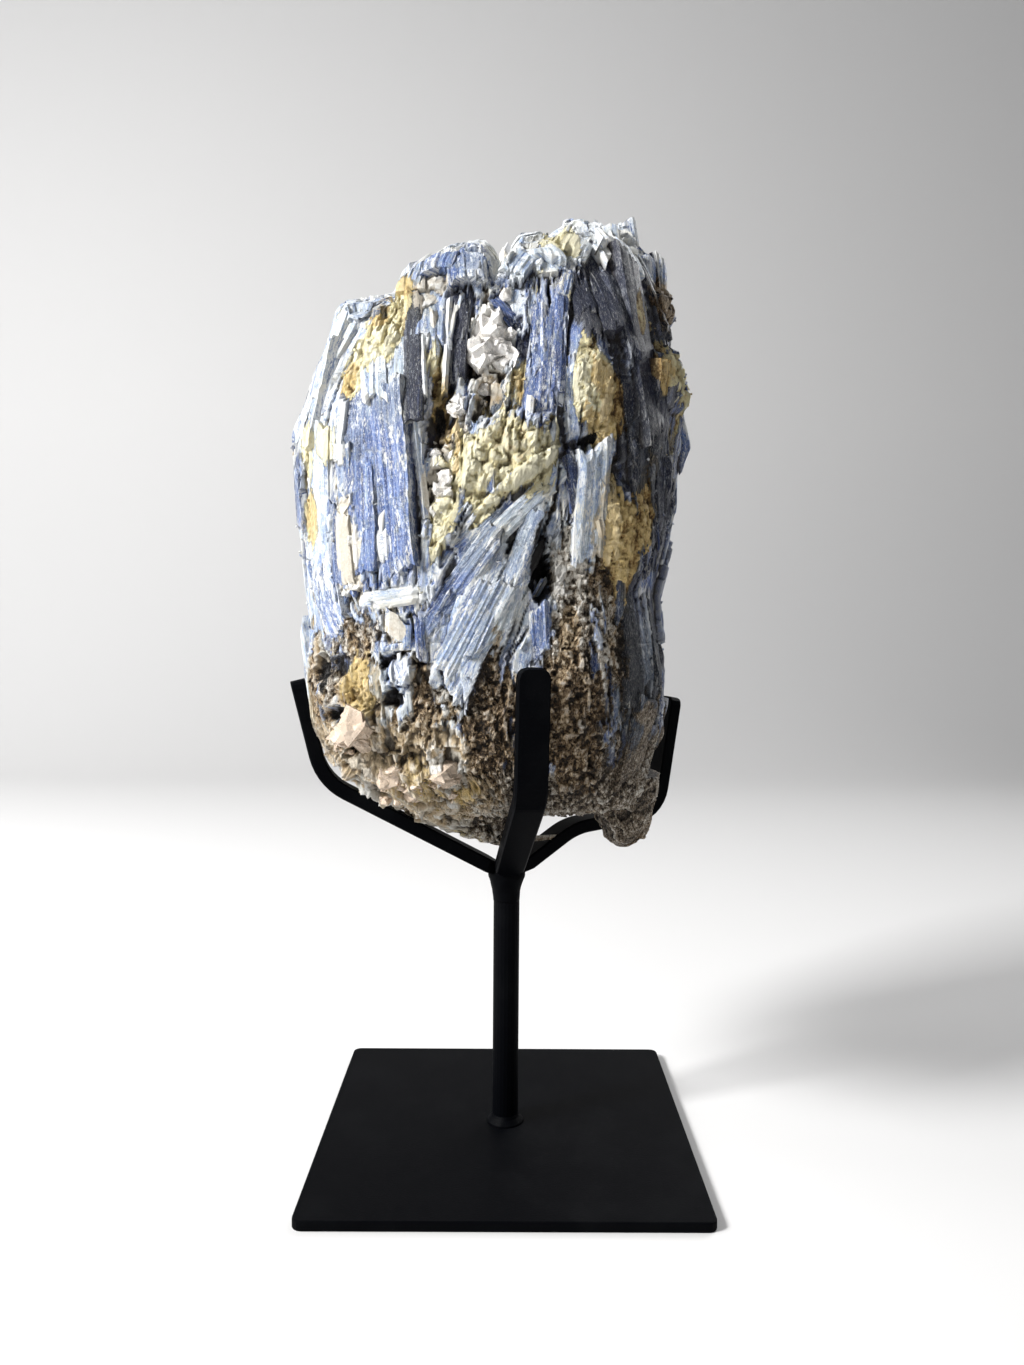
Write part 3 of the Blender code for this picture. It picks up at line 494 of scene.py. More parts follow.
frontBlades = {
    # x, height, length, width, lean, turn, pitch, lift, tone, fray
    "upperLeft": [
        (-53, 268, 39, 12.5, 14, -6, -3, 1.9, 0.18, 0.6), (-60, 250, 43, 10.5, 8, -8, 2, 1.6, 0.24, 0.6),
        (-44, 276, 28, 13.5, 5, 0, -6, 1.2, 0.16, 0.6), (-37, 257, 28, 15, -6, -4, -4, 1.9, 0.24, 0.62),
        (-40, 222, 69, 24, -5, -9, 1, 2, 0.52, 0.42), (-45, 214, 43, 12.5, -4, -12, 0, 2.4, 0.46, 0.25),
        (-40, 205, 16, 12, -6, -8, 0, 2.5, 0.34, 0.9), (-51, 238, 20, 5, -2, -8, 0, 2.8, 0.3, 0.9),
        (-50, 277, 22, 9, 10, -10, -4, 3.4, 0.2, 0.5), (-56, 267, 27, 7, 14, -14, 0, 3.2, 0.3, 0.5),
        (-45, 281, 17, 6, 4, 6, -8, 3.8, 0.24, 0.5), (-40.5, 275, 12, 4.5, -6, 0, 0, 3.2, 0.5, 0.3),
        (-58, 224, 65, 10.5, 2, -6, 0, 1.4, 0.28, 0.6), (-66, 222, 22, 9, 3, -10, 4, 2.6, 0.64, 0.25),
        (-28.5, 257, 63, 5.6, -4, 4, 0, 2.8, 0.78, 0.2), (-24, 275, 28, 10, -2, 0, -5, 2.1, 0.42, 0.35),
        (-55, 186, 26, 14, -18, -6, 0, 1.5, 0.4, 0.55), (-26.4, 226, 46, 2.6, -6, 8, 0, 2.6, 0.3, 0.6),
        (-49.8, 203, 29, 8.6, -5, -8, 0, 3.2, 0.5, 0.06), (-25.4, 258, 36, 1.3, -4, 0, 0, 2.4, 0.08, 0.8),
    ],
    "upperMiddle": [
        (-13, 291, 24, 12, -6, 0, -10, 2.5, 0.46, 0.5), (-3, 289, 18, 10, 14, 0, -12, 2.2, 0.56, 0.5),
        (-15.4, 266, 33, 5, 1, -8, 0, 1.7, 0.92, 0.12), (-18.6, 262, 36, 1.8, 1, 0, 0, 2.4, 0.06, 0.8),
        (-2, 275, 15, 4.4, -42, 0, 4, 0.9, 0.76, 0.1), (3.6, 266, 15, 4.6, -7, 0, 2, 0.4, 0.82, 0.08),
        (-3, 248, 17, 6.5, 5, -6, 6, 0.2, 0.62, 0.1),
    ],
    "longBlades": [
        (8.6, 262, 50, 7.4, 5, -8, 0, 2.2, 0.52, 0.4), (13.8, 260, 46, 4.2, 4, 6, 0, 2.7, 0.58, 0.3),
        (5, 295, 24, 13.5, 26, 0, -12, 1.4, 0.26, 0.6), (18, 301, 14, 20.5, 14, 0, -22, 0.6, 0.06, 0.95),
        (33, 303, 24, 15, 22, 6, -14, 1, 0.1, 0.9), (24, 284, 37, 15, -8, -4, -4, 1.9, 0.97, 0.08),
        (33, 279, 43, 7, -9, 10, -3, 2.6, 0.8, 0.22), (40, 262, 76, 9, -6, 14, 0, 1.9, 0.95, 0.1),
        (45, 236, 60, 8, -2, 12, 2, 2, 0.88, 0.18), (49.5, 295, 17, 9, -2, 10, -6, 1.9, 0.5, 0.4),
        (18.6, 246, 30, 4.4, -5, 4, 2, 1.6, 0.34, 0.5), (23.6, 216, 39, 10, 1, 4, 4, 2.6, 0.12, 0.6),
        (18, 224, 26, 4, -8, 0, 2, 1.8, 0.8, 0.3), (29, 290, 24, 5, -14, 6, -4, 3, 0.9, 0.2),
        (44, 284, 34, 5, -12, 16, 0, 2.4, 0.9, 0.2), (16.4, 284, 20, 4, 14, 0, -4, 2.6, 0.4, 0.5),
    ],
    "fan": [
        (6.4, 217, 32, 6, 44, 6, 0, 2.2, 0.24, 0.5), (-7, 207, 24, 7, 47, -4, 0, 1.6, 0.48, 0.4),
        (-14, 193, 44, 7, 37, -14, 2, 2, 0.56, 0.3), (-9.4, 181, 52, 13, 26, 2, 2, 3, 0.3, 0.5),
        (-0.6, 189, 42, 8.4, 24, 12, 2, 2.2, 0.34, 0.45), (4.4, 204, 32, 6, 20, -6, 0, 2.8, 0.3, 0.45),
        (-18, 170, 26, 8, 14, -8, 4, 1.6, 0.26, 0.5), (-34.5, 187.6, 24, 5.6, 82, 0, 0, 1.4, 0.14, 0.8),
        (-26, 176, 16, 3, -3, 0, 2, 2.2, 0.62, 0.1), (-32.6, 178.6, 10, 8, 4, 0, 0, 2, 0.3, 0.1),
        (-31, 173, 4, 12, 8, 0, -4, 1.6, 0.25, 0.5),
    ],
    "right": [
        (29, 214, 32, 6, -7, 8, 0, 2.1, 0.26, 0.5), (39, 229, 30, 7, -6, 10, 4, 1.6, 0.86, 0.2),
        (9, 180, 22, 6, -3, 0, 4, 1.1, 0.5, 0.4), (49.4, 206, 48, 8, 1.4, 12, 0, 1.6, 0.84, 0.3),
        (37.6, 174, 45, 8, -1, 10, 0, 1.5, 0.86, 0.15), (46, 172, 37, 8, 6, 14, 0, 1.6, 0.82, 0.2),
        (40, 142, 36, 11, 3, 6, 2, 1.2, 0.84, 0.2), (33, 196, 34, 4, -6, 8, 0, 2, 0.7, 0.35),
        (49, 226, 22, 6, -6, 12, 2, 2.4, 0.9, 0.2),
    ],
    "crown": [
        (-30, 285, 15, 9, -8, 8, -10, 3.4, 0.34, 0.4), (-21, 288, 15, 9, 8, -6, -14, 3.6, 0.4, 0.35),
        (-12, 289, 14, 8, -6, 6, -14, 3.8, 0.46, 0.35), (2, 290, 16, 8, 24, -6, -14, 3.4, 0.16, 0.5),
        (10, 293, 15, 9, -14, 6, -18, 3.6, 0.08, 0.6), (19, 296, 15, 9, 24, 0, -20, 3.8, 0.04, 0.6),
        (28, 297, 15, 9, -18, 4, -20, 3.8, 0.05, 0.6), (36, 296, 17, 8, 14, 8, -16, 3.6, 0.08, 0.5),
        (43, 292, 16, 7, -12, 12, -10, 3.2, 0.3, 0.4), (-52, 276, 15, 8, 14, -8, -8, 3.4, 0.1, 0.5),
    ],
}
frontList = [blade for group in frontBlades.values() for blade in group]


# Blades of the sides and back, placed by the same seeded rule as in the solid

sideBlades = {
    "from": -26.0, "to": 209.0, "placeSeed": 5, "breakSeed": 53,
    "slabs": {
        "rows": [(138, 5, 0.55), (163, 5, 0.8), (193, 5, 1), (223, 5, 1), (252, 5, 1), (279, 4, 0.8)],
        "length": (42.0, 68.0), "width": (13.0, 21.0), "thick": (8.0, 10.0),
        "lean": 5.0, "turn": 8.0, "pitch": 3.0, "lift": (0.4, 1.8),
    },
    "splints": {
        "rows": [(142, 4, 0.6), (176, 5, 1), (208, 5, 1), (240, 5, 1), (268, 4, 0.9)],
        "length": (26.0, 52.0), "width": (5.5, 10.0), "thick": (8.0, 9.0),
        "lean": 9.0, "turn": 14.0, "pitch": 3.0, "lift": (1.6, 3.0),
    },
}


def sideList():
    # azimuth, height, length, width, lean, turn, pitch, lift, as the solid's rule gives them
    plan = sideBlades
    places = random.Random(plan["placeSeed"])
    found = []
    for kind in ("slabs", "splints"):
        rule = plan[kind]
        for height, count, shareLong in rule["rows"]:
            for i in range(count):
                share = (i + 0.5 + places.uniform(-0.25, 0.25)) / count
                azimuth = plan["from"] + (plan["to"] - plan["from"]) * share
                level = height + places.uniform(-7, 7)
                length = places.uniform(*rule["length"]) * shareLong
                width = places.uniform(*rule["width"])
                places.uniform(*rule["thick"])
                lean, turn, pitch = (places.uniform(-1, 1) * rule[key] for key in ("lean", "turn", "pitch"))
                found.append((azimuth, level, length, width, lean, turn, pitch, places.uniform(*rule["lift"])))
    return found


# Crust: the fine rock surface over the core, a sheet of layered blades and grains

crust = {
    "columns": 640, "step": 0.8, "capRows": 18, "seed": 11, "parts": ("rock_lower", "rock_middle", "rock_upper"),
    # blades laid on in turn: how many, length, width, rise over what lies there, slope across and along
    "layers": [
        (360, (26, 74), (6, 16), (-1.2, 1.1), 0.08, 0.014), (900, (12, 40), (2.4, 6.5), (-0.3, 0.6), 0.12, 0.02),
        (2600, (4, 16), (0.8, 2.4), (-0.1, 0.35), 0.14, 0.03),
    ],
    "splits": (460, (7, 34), (0.5, 1.4), (0.6, 2.4)),    # how many, length, width, depth
    "creamLumps": (3.5, 2.8), "creamFine": (1.6, 0.9), "micaFacets": (3.4, 0.9), "micaFine": (1.8, 0.8),
    "quartzFacets": (5.4, 2.4), "broad": (16.0, 2.2), "crags": (9.5, 3.4), "bits": (3.6, 1.3),   # cell and relief
    "cragged": (283, 299),                                # heights between which the blades give way to crags
    # top, broken across: height, sway of its edge with cell and seed, cell and seed of the broken ends
    "cap": (304, 4, 12, 321, 7.0, 323),
    "weathered": (1.7, 3, 9), "relief": (-12, 6.5),       # cell, octaves, seed; least and most relief
    # each blade's lanes, slant of its ends, ripple of its sides, length of its steps, ragged ends and rim
    "blade": {"lane": (0.6, 1.7), "slant": (-0.7, 0.7), "ripple": (0.15, 0.5), "steps": (3, 9),
              "ragged": (6.0, 0.16), "rim": (0.55, 0.8)},
    "lumpy": (-1.5, 233, 8.5, 13, 62),                    # x, height, half width, half height, lean
    # hollows: x, height, half width, half height, depth
    "hollows": [
        (-5.4, 264, 8, 14.5, 6), (9.4, 197, 3.5, 10.6, 12), (-20.5, 245, 4.2, 11, 4.5), (-35, 157.2, 3, 2.4, 5),
        (-33, 166.2, 6.4, 6.2, 4.6), (-58, 166, 4, 4.5, 5), (-53.5, 151, 3.8, 3, 5), (22, 234.5, 5, 2.4, 3),
        (-13, 259, 1.6, 13, 2), (31, 226, 3, 7, 3), (-6.4, 248, 5.4, 5, 3), (-51, 167, 2, 4, 3),
        (15.4, 238, 2, 10, 2.4), (-27.5, 208, 1.4, 22, 1.6), (0.6, 206, 2, 9, 1.4),
    ],
    # rounded masses: x, height, half width, half height, lean, rise
    "masses": [
        (-0.7, 231.5, 11.5, 18, 62, 4.6), (4, 224, 2.6, 17, 52, 2.4), (24, 258, 7, 18, -6, 3),
        (-41.5, 263.5, 6, 13, 38, 1.4), (-22, 203, 6, 18, 18, 1.6), (35.5, 208, 9, 16, -5, 2.2),
        (50, 258.5, 6.5, 10.5, -6, 3.6), (49.5, 286, 4.5, 7.5, 0, 5), (-32.4, 165.6, 4.8, 4.9, 0, 5.4),
        (-49.2, 204, 4.6, 14, -4, 0.8), (-46, 146, 9, 10, 0, 2), (-26, 130, 11, 9, -20, 1.8),
        (-56, 161, 7, 12, 0, 1.6), (-17, 237, 4.6, 12, 28, 1.6), (20, 166, 12, 16, 0, 1.2),
        (-24, 277, 5, 13, -4, 0.6), (-8, 289, 10, 7, 0, 1.2),
    ],
}


class Crust:
    # The sheet unrolled: columns go round the stone, rows go up it
    def __init__(self, points, around):
        self.rows, self.columns, _ = points.shape
        self.points, self.around, self.up = points, around, points[:, 0, 2].copy()
        self.girth = around[-1] + around[1] - around[0]
        flat = points.reshape(-1, 3)
        size = (self.rows, self.columns)
        self.height = (fractal(flat, crust["broad"][0], 3, 3) * crust["broad"][1]).reshape(size)
        self.base = darkness(flat).reshape(size)
        self.tone, self.fray = self.base.copy(), np.full(size, 0.35)
        self.own = np.full(size, 0.5)
        self.across = np.tile(around, (self.rows, 1))
        self.along = np.repeat(self.up[:, None], self.columns, 1)
        self.mark = np.zeros(size)

    def turnTo(self, u):
        # Way round from u to each column, the shorter way
        return (self.around - u + self.girth / 2) % self.girth - self.girth / 2

    def patch(self, u, v, length, width, lean):
        # Rows and columns near a blade, and each point's place across and along it
        reach = math.hypot(length, width) / 2 + 1.5
        rows = np.nonzero(np.abs(self.up - v) < reach)[0]
        gap = self.turnTo(u)
        columns = np.nonzero(np.abs(gap) < reach)[0]
        dv, du = (self.up[rows] - v)[:, None], gap[columns][None, :]
        c, s = math.cos(math.radians(lean)), math.sin(math.radians(lean))
        return np.ix_(rows, columns), du * c - dv * s, du * s + dv * c

    def nearest(self, u, v):
        return int(np.argmin(np.abs(self.up - v))), int(np.argmin(np.abs(self.turnTo(u))))

    def lay(self, u, v, length, width, lean, rise, slope, pitch, tone, fray, chance, flatten=0.0):
        spot, across, along = self.patch(u, v, length, width, lean)
        if across.size == 0:
            return
        mark = chance.randrange(1, 90000)
        rule = crust["blade"]
        lane = np.floor(across / chance.uniform(*rule["lane"])).astype(np.int64) + 500
        ragged = min(rule["ragged"][0], length * rule["ragged"][1])
        low = -length / 2 + hash01(lane, 0, 0, mark) ** 2 * ragged + across * chance.uniform(*rule["slant"])
        high = length / 2 - hash01(lane, 0, 0, mark + 1) ** 2 * ragged + across * chance.uniform(*rule["slant"])
        side = width / 2 * (1 + 0.05 * np.sin(along * chance.uniform(*rule["ripple"]) + mark))
        stria = (hash01(lane, 0, 0, mark + 2) - 0.5) * 0.22
        step = np.floor(along / chance.uniform(*rule["steps"])).astype(np.int64)
        step = (hash01(0, step, 0, mark + 3) - 0.5) * 0.2
        surface = rise + slope * across + pitch * along + stria + step
        win = (np.abs(across) < side) & (along > low) & (along < high) & (surface > self.height[spot] - flatten)
        rim, end = rule["rim"]
        edge = (np.abs(across) > side - rim) | (along < low + end) | (along > high - end)
        for layer, value in ((self.height, surface), (self.tone, tone + stria * 0.5),
                             (self.fray, fray + 0.3 * edge), (self.own, (mark % 997) / 997.0),
                             (self.across, across), (self.along, along), (self.mark, mark * 0.37)):
            layer[spot] = np.where(win, value, layer[spot])

    def split(self, u, v, length, width, lean, depth, chance):
        spot, across, along = self.patch(u, v, length, width, lean)
        if across.size == 0:
            return
        bend = np.sin(along * chance.uniform(0.1, 0.35) + u) * width * 0.5
        share = 1 - ((across - bend) / (width / 2)) ** 2 - (along / (length / 2)) ** 2
        self.height[spot] -= depth * np.sqrt(np.clip(share, 0, 1))


def crustGrid():
    # Rings from the middle of the underside to the middle of the top, evenly spaced round and up
    columns = crust["columns"]
    around = np.linspace(0, girthWay[-1], columns + 1)[:-1]
    azimuth = np.interp(around, girthWay, girthAzimuth)
    fine = np.linspace(levelTable[0, 0], levelTable[-1, 0], 2000)
    sizes = np.array([levelAt(h) for h in fine])
    travel = np.hypot(np.diff(fine), np.abs(np.diff(sizes[:, 2:], axis=0)).mean(1))
    travel = np.concatenate([[0], np.cumsum(travel)])
    heights = np.interp(np.arange(0, travel[-1], crust["step"]), travel, fine)
    rings = [corePoints(azimuth, np.full(columns, height)) for height in heights]
    caps = crust["capRows"]

    def cap(edge, bulge):
        middle = edge.mean(0)
        found = []
        for i in range(caps):
            share = math.sin(math.pi / 2 * (i + 0.5) / caps)
            ring = middle + (edge - middle) * share
            ring[:, 2] = middle[2] + bulge * math.sqrt(1 - share * share)
            found.append(ring)
        return found

    return np.array(cap(rings[0], -2.0) + rings + cap(rings[-1], 2.0)[::-1]), around


def gridNormals(grid):
    around = np.roll(grid, -3, axis=1) - np.roll(grid, 3, axis=1)
    up = np.gradient(grid, axis=0)
    normal = np.cross(around, up)
    normal /= np.maximum(np.linalg.norm(normal, axis=2, keepdims=True), 1e-9)
    for _ in range(8):
        padded = np.concatenate([normal[:1], normal, normal[-1:]])
        normal = (padded[:-2] + 2 * padded[1:-1] + padded[2:]) / 4
    return normal / np.linalg.norm(normal, axis=2, keepdims=True)


def blurred(values, rows, columns):
    # Box blur; columns wrap round
    padded = np.pad(values, ((rows, rows), (0, 0)), mode="edge")
    total = np.cumsum(np.concatenate([np.zeros((1, values.shape[1])), padded]), axis=0)
    values = (total[2 * rows + 1:] - total[:-2 * rows - 1]) / (2 * rows + 1)
    padded = np.concatenate([values[:, -columns:], values, values[:, :columns]], axis=1)
    total = np.cumsum(np.concatenate([np.zeros((values.shape[0], 1)), padded], axis=1), axis=1)
    return (total[:, 2 * columns + 1:] - total[:, :-2 * columns - 1]) / (2 * columns + 1)


def standsOut(relief, *blurs):
    # How far each point stands out of what lies round it: rows, columns and share of each blur
    return sum((relief - blurred(relief, rows, columns)) * share for rows, columns, share in blurs)


def layBlades(sheet):
    chance = random.Random(crust["seed"])

    def start(low, high):
        # A seeded place, its row and column, and the way that blades lean there
        u, v = chance.uniform(0, sheet.girth), chance.uniform(low, high)
        spot = sheet.nearest(u, v)
        return u, v, spot, bladeLean(*sheet.points[spot], chance)

    for azimuth, height, length, width, lean, turn, pitch, lift in sideList():
        u = wayRound(azimuth)
        tone = float(sheet.base[sheet.nearest(u, height)]) + chance.gauss(0, 0.12)
        sheet.lay(u, height, length, width, lean, lift - 0.4, math.tan(math.radians(-turn)) * 0.5,
                  math.tan(math.radians(pitch)), tone, chance.uniform(0.2, 0.5), chance)
    for count, lengths, widths, rises, slope, pitch in crust["layers"]:
        for _ in range(count):
            u, v, spot, lean = start(112, 314)
            length, width = chance.uniform(*lengths), chance.uniform(*widths)
            rise = float(sheet.height[spot]) * (0.25 if length > 30 else 1.0) + chance.uniform(*rises)
            base = float(sheet.base[spot])
            tone = base + chance.gauss(0, 0.11)
            fray = min(0.9, max(0.05, 0.72 - 0.6 * base + chance.gauss(0, 0.1)))
            sheet.lay(u, v, length, width, lean, rise, chance.uniform(-slope, slope),
                      chance.uniform(-pitch, pitch), tone, fray, chance)
    for x, height, length, width, lean, turn, pitch, lift, tone, fray in frontList:
        sheet.lay(wayRound(frontAzimuth(x, height)), height, length, width, lean, lift - 0.35, 0.0, 0.0,
                  tone, fray, chance, 1.2)
    count, lengths, widths, depths = crust["splits"]
    for _ in range(count):
        u, v, _, lean = start(125, 308)
        sheet.split(u, v, chance.uniform(*lengths), chance.uniform(*widths), lean, chance.uniform(*depths), chance)


def roughRelief(points, fields):
    # Relief of the granular minerals, each in its own way
    def facets(name, seed, lumpy=0.0):
        cell, relief = crust[name]
        gap, own, slope = grains(points, cell, seed)
        return relief * (lumpy * (dome(gap / 0.8) - 0.6) + (1 - lumpy) * (own - 0.5 + 0.7 * slope))

    lumpy = smooth(1.3, 0.8, patchGap(points[:, 0], points[:, 2], crust["lumpy"])) * onFront(points[:, 1])
    cream = facets("creamLumps", 7, 0.8) * (0.4 + 0.6 * lumpy) + facets("creamFine", 17, 0.8)
    mica = facets("micaFacets", 27) + facets("micaFine", 37)
    quartz = facets("quartzFacets", 47) + 0.3 * facets("micaFacets", 57)
    high = smooth(*crust["cragged"], points[:, 2])
    rough = cream * fields["cream"] + mica * fields["mica"] * (1 - fields["cream"]) + quartz * fields["quartz"]
    return rough * (1 - high) + high * (facets("crags", 67) + facets("bits", 77))


def frontForms(points):
    x, y, z = points.T
    facing = onFront(y)
    relief = np.zeros(len(points))
    for mx, mz, halfX, halfZ, lean, rise in crust["masses"]:
        relief += rise * dome(patchGap(x, z, (mx, mz, halfX, halfZ, lean))) * facing
    ragged = 0.9 * fractal(points, 6, 4, 71)
    for hx, hz, halfX, halfZ, depth in crust["hollows"]:
        relief -= depth * dome(np.hypot((x - hx) / halfX, (z - hz) / halfZ) + ragged) * facing
    return relief


def makeCrust():
    grid, around = crustGrid()
    normals = gridNormals(grid)
    sheet = Crust(grid, around)
    layBlades(sheet)
    rows, columns = sheet.rows, sheet.columns
    flat = grid.reshape(-1, 3)
    level, sway, cell, seed, endCell, endSeed = crust["cap"]
    capped = (flat[:, 2] > level + sway * valueNoise(flat, cell, seed)).reshape(rows, columns)
    ends = grains(flat, endCell, endSeed)[1].reshape(rows, columns)
    for layer, value in ((sheet.across, grid[:, :, 0]), (sheet.along, grid[:, :, 1]), (sheet.mark, ends * 90),
                         (sheet.own, ends), (sheet.tone, sheet.base + 0.3 * (ends - 0.5)), (sheet.height, 1.0)):
        layer[capped] = np.broadcast_to(value, layer.shape)[capped]
    fields = mineralFields(flat, sheet.own.ravel())
    grainy = np.clip(np.maximum.reduce([fields["cream"], fields["mica"], fields["quartz"]]), 0, 1)
    high = smooth(*crust["cragged"], flat[:, 2])
    bladed = 1 - np.maximum(0.8 * grainy - 0.4 * fields["cream"], 0.8 * high)
    relief = sheet.height.ravel() * np.clip(bladed, 0, 1) + roughRelief(flat, fields)
    relief += fractal(flat, *crust["weathered"]) * (0.18 + 0.35 * grainy) + frontForms(flat)
    edge = np.repeat(np.minimum(np.arange(rows), np.arange(rows)[::-1]), columns)
    relief = (np.clip(relief, *crust["relief"]) * smooth(-1, 9, edge)).reshape(rows, columns)
    # hollow: how far each point stands out; the finish paints shade in hollows and highlight on ridges from it, and
    # calm softens that painted light on the crown
    calm = (1 - 0.8 * high).reshape(rows, columns)
    hollow = 0.52 + standsOut(relief, (2, 3, 0.55), (8, 11, 0.16)) * calm
    sheet.relief, sheet.moved, sheet.normals = relief, grid + normals * relief[:, :, None], normals
    sheet.hollow, sheet.grainy = np.clip(hollow, 0, 1), np.maximum(grainy, 0.8 * high).reshape(rows, columns)
    sheet.fray = np.maximum(sheet.fray, 0.95 * high.reshape(rows, columns))
    sheet.fields = {key: value.reshape(rows, columns) for key, value in fields.items()}
    print("crust laid,", rows, "by", columns)
    return sheet


def crustPieces(sheet, finish):
    columns = sheet.columns
    cuts = np.linspace(0, sheet.rows - 1, len(crust["parts"]) + 1).astype(int)
    grain = np.stack([sheet.across, sheet.along, sheet.mark], -1)
    made = []
    for name, first, last in zip(crust["parts"], cuts[:-1], cuts[1:]):
        pick = slice(first, last + 1)
        moved = sheet.moved[pick].reshape(-1, 3)
        index, beside, quads = ringFaces(last - first + 1, columns)
        relief, grainy = sheet.relief[pick].ravel(), sheet.grainy[pick].ravel()
        soft = (np.ptp(relief[quads], axis=1) < 0.4) & (grainy[quads].mean(1) < 0.5)
        hubs = np.array([moved[:columns].mean(0), moved[-columns:].mean(0)])    # middles of the closed ends
        fans = [(*pair, len(moved)) for pair in zip(beside[0].tolist(), index[0].tolist())]
        fans += [(*pair, len(moved) + 1) for pair in zip(index[-1].tolist(), beside[-1].tolist())]
        tone, fray, hollow, own = (np.concatenate([values[pick].ravel(), [0.4, 0.4]])
                                   for values in (sheet.tone, sheet.fray, sheet.hollow, sheet.own))
        shape = StoneMesh()
        shape.add(np.concatenate([moved, hubs]), quads.tolist() + fans,
                  np.concatenate([grain[pick].reshape(-1, 3), hubs]), tone, fray, hollow, own,
                  smoothFaces=np.concatenate([soft, np.zeros(len(fans), bool)]))
        made.append(shape.make(name, finish))
    return made


# Thin sheets of blade, broken across and split along

sheets = {
    "thick": 6.0, "stationWide": 0.8, "stationLong": 2.4, "stria": (0.03, 0.22), "bow": 0.5, "jag": 0.012,
    "ragged": 2.6, "slant": 0.8, "overlap": 1.02, "wave": (0.03, 0.17), "swell": 0.07,
    # front: share of the length, slide along it, sink, waver of each strip, and how far its tone strays
    "front": {"seed": 41, "width": 6.0, "part": (0.72, 1.0), "slide": (-0.5, 0.5), "sink": (-0.8, 0.5),
              "waver": (0.8, 3, 0.7), "stray": 0.05},
    "side": {"width": 5.5, "missing": 0.3, "part": (0.55, 0.95), "slide": (-0.5, 0.5), "waver": 1.5, "stray": 0.14},
    "slivers": {"count": 420, "length": (5, 20), "width": (0.7, 2.4), "thick": 1.8, "seed": 71, "rise": (-0.4, 0.5),
                "heights": (122, 284), "waver": (5, 16, 4), "stray": 0.12},
}


def turned(lean, turn, pitch):
    spin = (Matrix.Rotation(math.radians(turn), 3, "Y") @ Matrix.Rotation(math.radians(-lean), 3, "Z")
            @ Matrix.Rotation(math.radians(pitch), 3, "X"))
    return np.array(spin)


def bladeSheet(shape, place, axes, length, width, thick, tone, fray, chance, resist=0.35, ragged=None):
    # Closed slab: a fine broken face with its middle at place, straight sides, and one face below
    wide = max(2, int(round(width / sheets["stationWide"])))
    long = max(3, int(round(length / sheets["stationLong"])))
    ragged = min(sheets["ragged"], length * 0.12) if ragged is None else ragged
    across = np.linspace(-width / 2, width / 2, wide + 1)
    across[1:-1] += np.array([chance.uniform(-0.3, 0.3) for _ in range(wide - 1)]) * width / wide
    low, high = [], []
    slants = (chance.uniform(-1, 1) * sheets["slant"], chance.uniform(-1, 1) * sheets["slant"])
    walk = [0.0, 0.0]
    for value in across:
        for e in (0, 1):
            walk[e] = 0.55 * walk[e] + chance.uniform(0, ragged)
        low.append(-length / 2 + walk[0] + slants[0] * value)
        high.append(length / 2 - walk[1] + slants[1] * value)
    low, high = np.array(low), np.maximum(np.array(high), np.array(low) + length * 0.2)
    share = np.linspace(0, 1, long + 1)
    along = low[:, None] * (1 - share) + high[:, None] * share
    jag = np.array([chance.gauss(0, sheets["jag"]) for _ in share])[None, :]
    wave = sheets["wave"][0] * np.sin(along * sheets["wave"][1] + length) + jag
    side = across[:, None] + width * wave * np.abs(2 * across[:, None] / width) ** 2
    deep = sheets["stria"][0] + sheets["stria"][1] * fray
    stria = np.array([chance.gauss(0, deep) for _ in across])[:, None]
    swell = np.array([chance.gauss(0, sheets["swell"]) for _ in share])[None, :]
    rise = stria + swell - sheets["bow"] * (2 * across[:, None] / width) ** 4
    rise = rise - 0.5 * (share[None, :] < 0.01) - 0.5 * (share[None, :] > 0.99)
    top = np.stack([side, along, np.broadcast_to(rise, along.shape)], -1).reshape(-1, 3)
    index = np.arange((wide + 1) * (long + 1)).reshape(wide + 1, long + 1)
    quads = np.stack([index[:-1, :-1], index[1:, :-1], index[1:, 1:], index[:-1, 1:]], -1).reshape(-1, 4).tolist()
    border = np.concatenate([index[:, 0], index[-1, 1:], index[-2::-1, -1], index[0, -2:0:-1]])
    below = top[border].copy()
    below[:, 2] = -thick
    start = len(top)
    turnRound = len(border)
    for k in range(turnRound):
        after = (k + 1) % turnRound
        quads.append((int(border[after]), int(border[k]), start + k, start + after))
    quads.append(tuple(start + k for k in reversed(range(turnRound))))
    local = np.concatenate([top, below])
    grain = local.copy()
    grain[start:, 0] += np.sign(local[start:, 0]) * thick
    grain[:, 2] = chance.uniform(0, 900)    # sets this blade's streaks apart
    frays = np.full(len(local), fray)
    frays[border] += 0.25
    # painted shade: the side walls and underside count as the deepest hollow and come out dark, and the face's lower
    # lanes darker than its raised ones
    hollow = np.concatenate([np.full(len(top), 0.58), np.full(turnRound, 0.0)])
    hollow[:len(top)] += np.broadcast_to(stria, along.shape).ravel() * 0.9
    shape.add(place + local @ axes, quads, grain, tone, frays, hollow, chance.random(), resist)


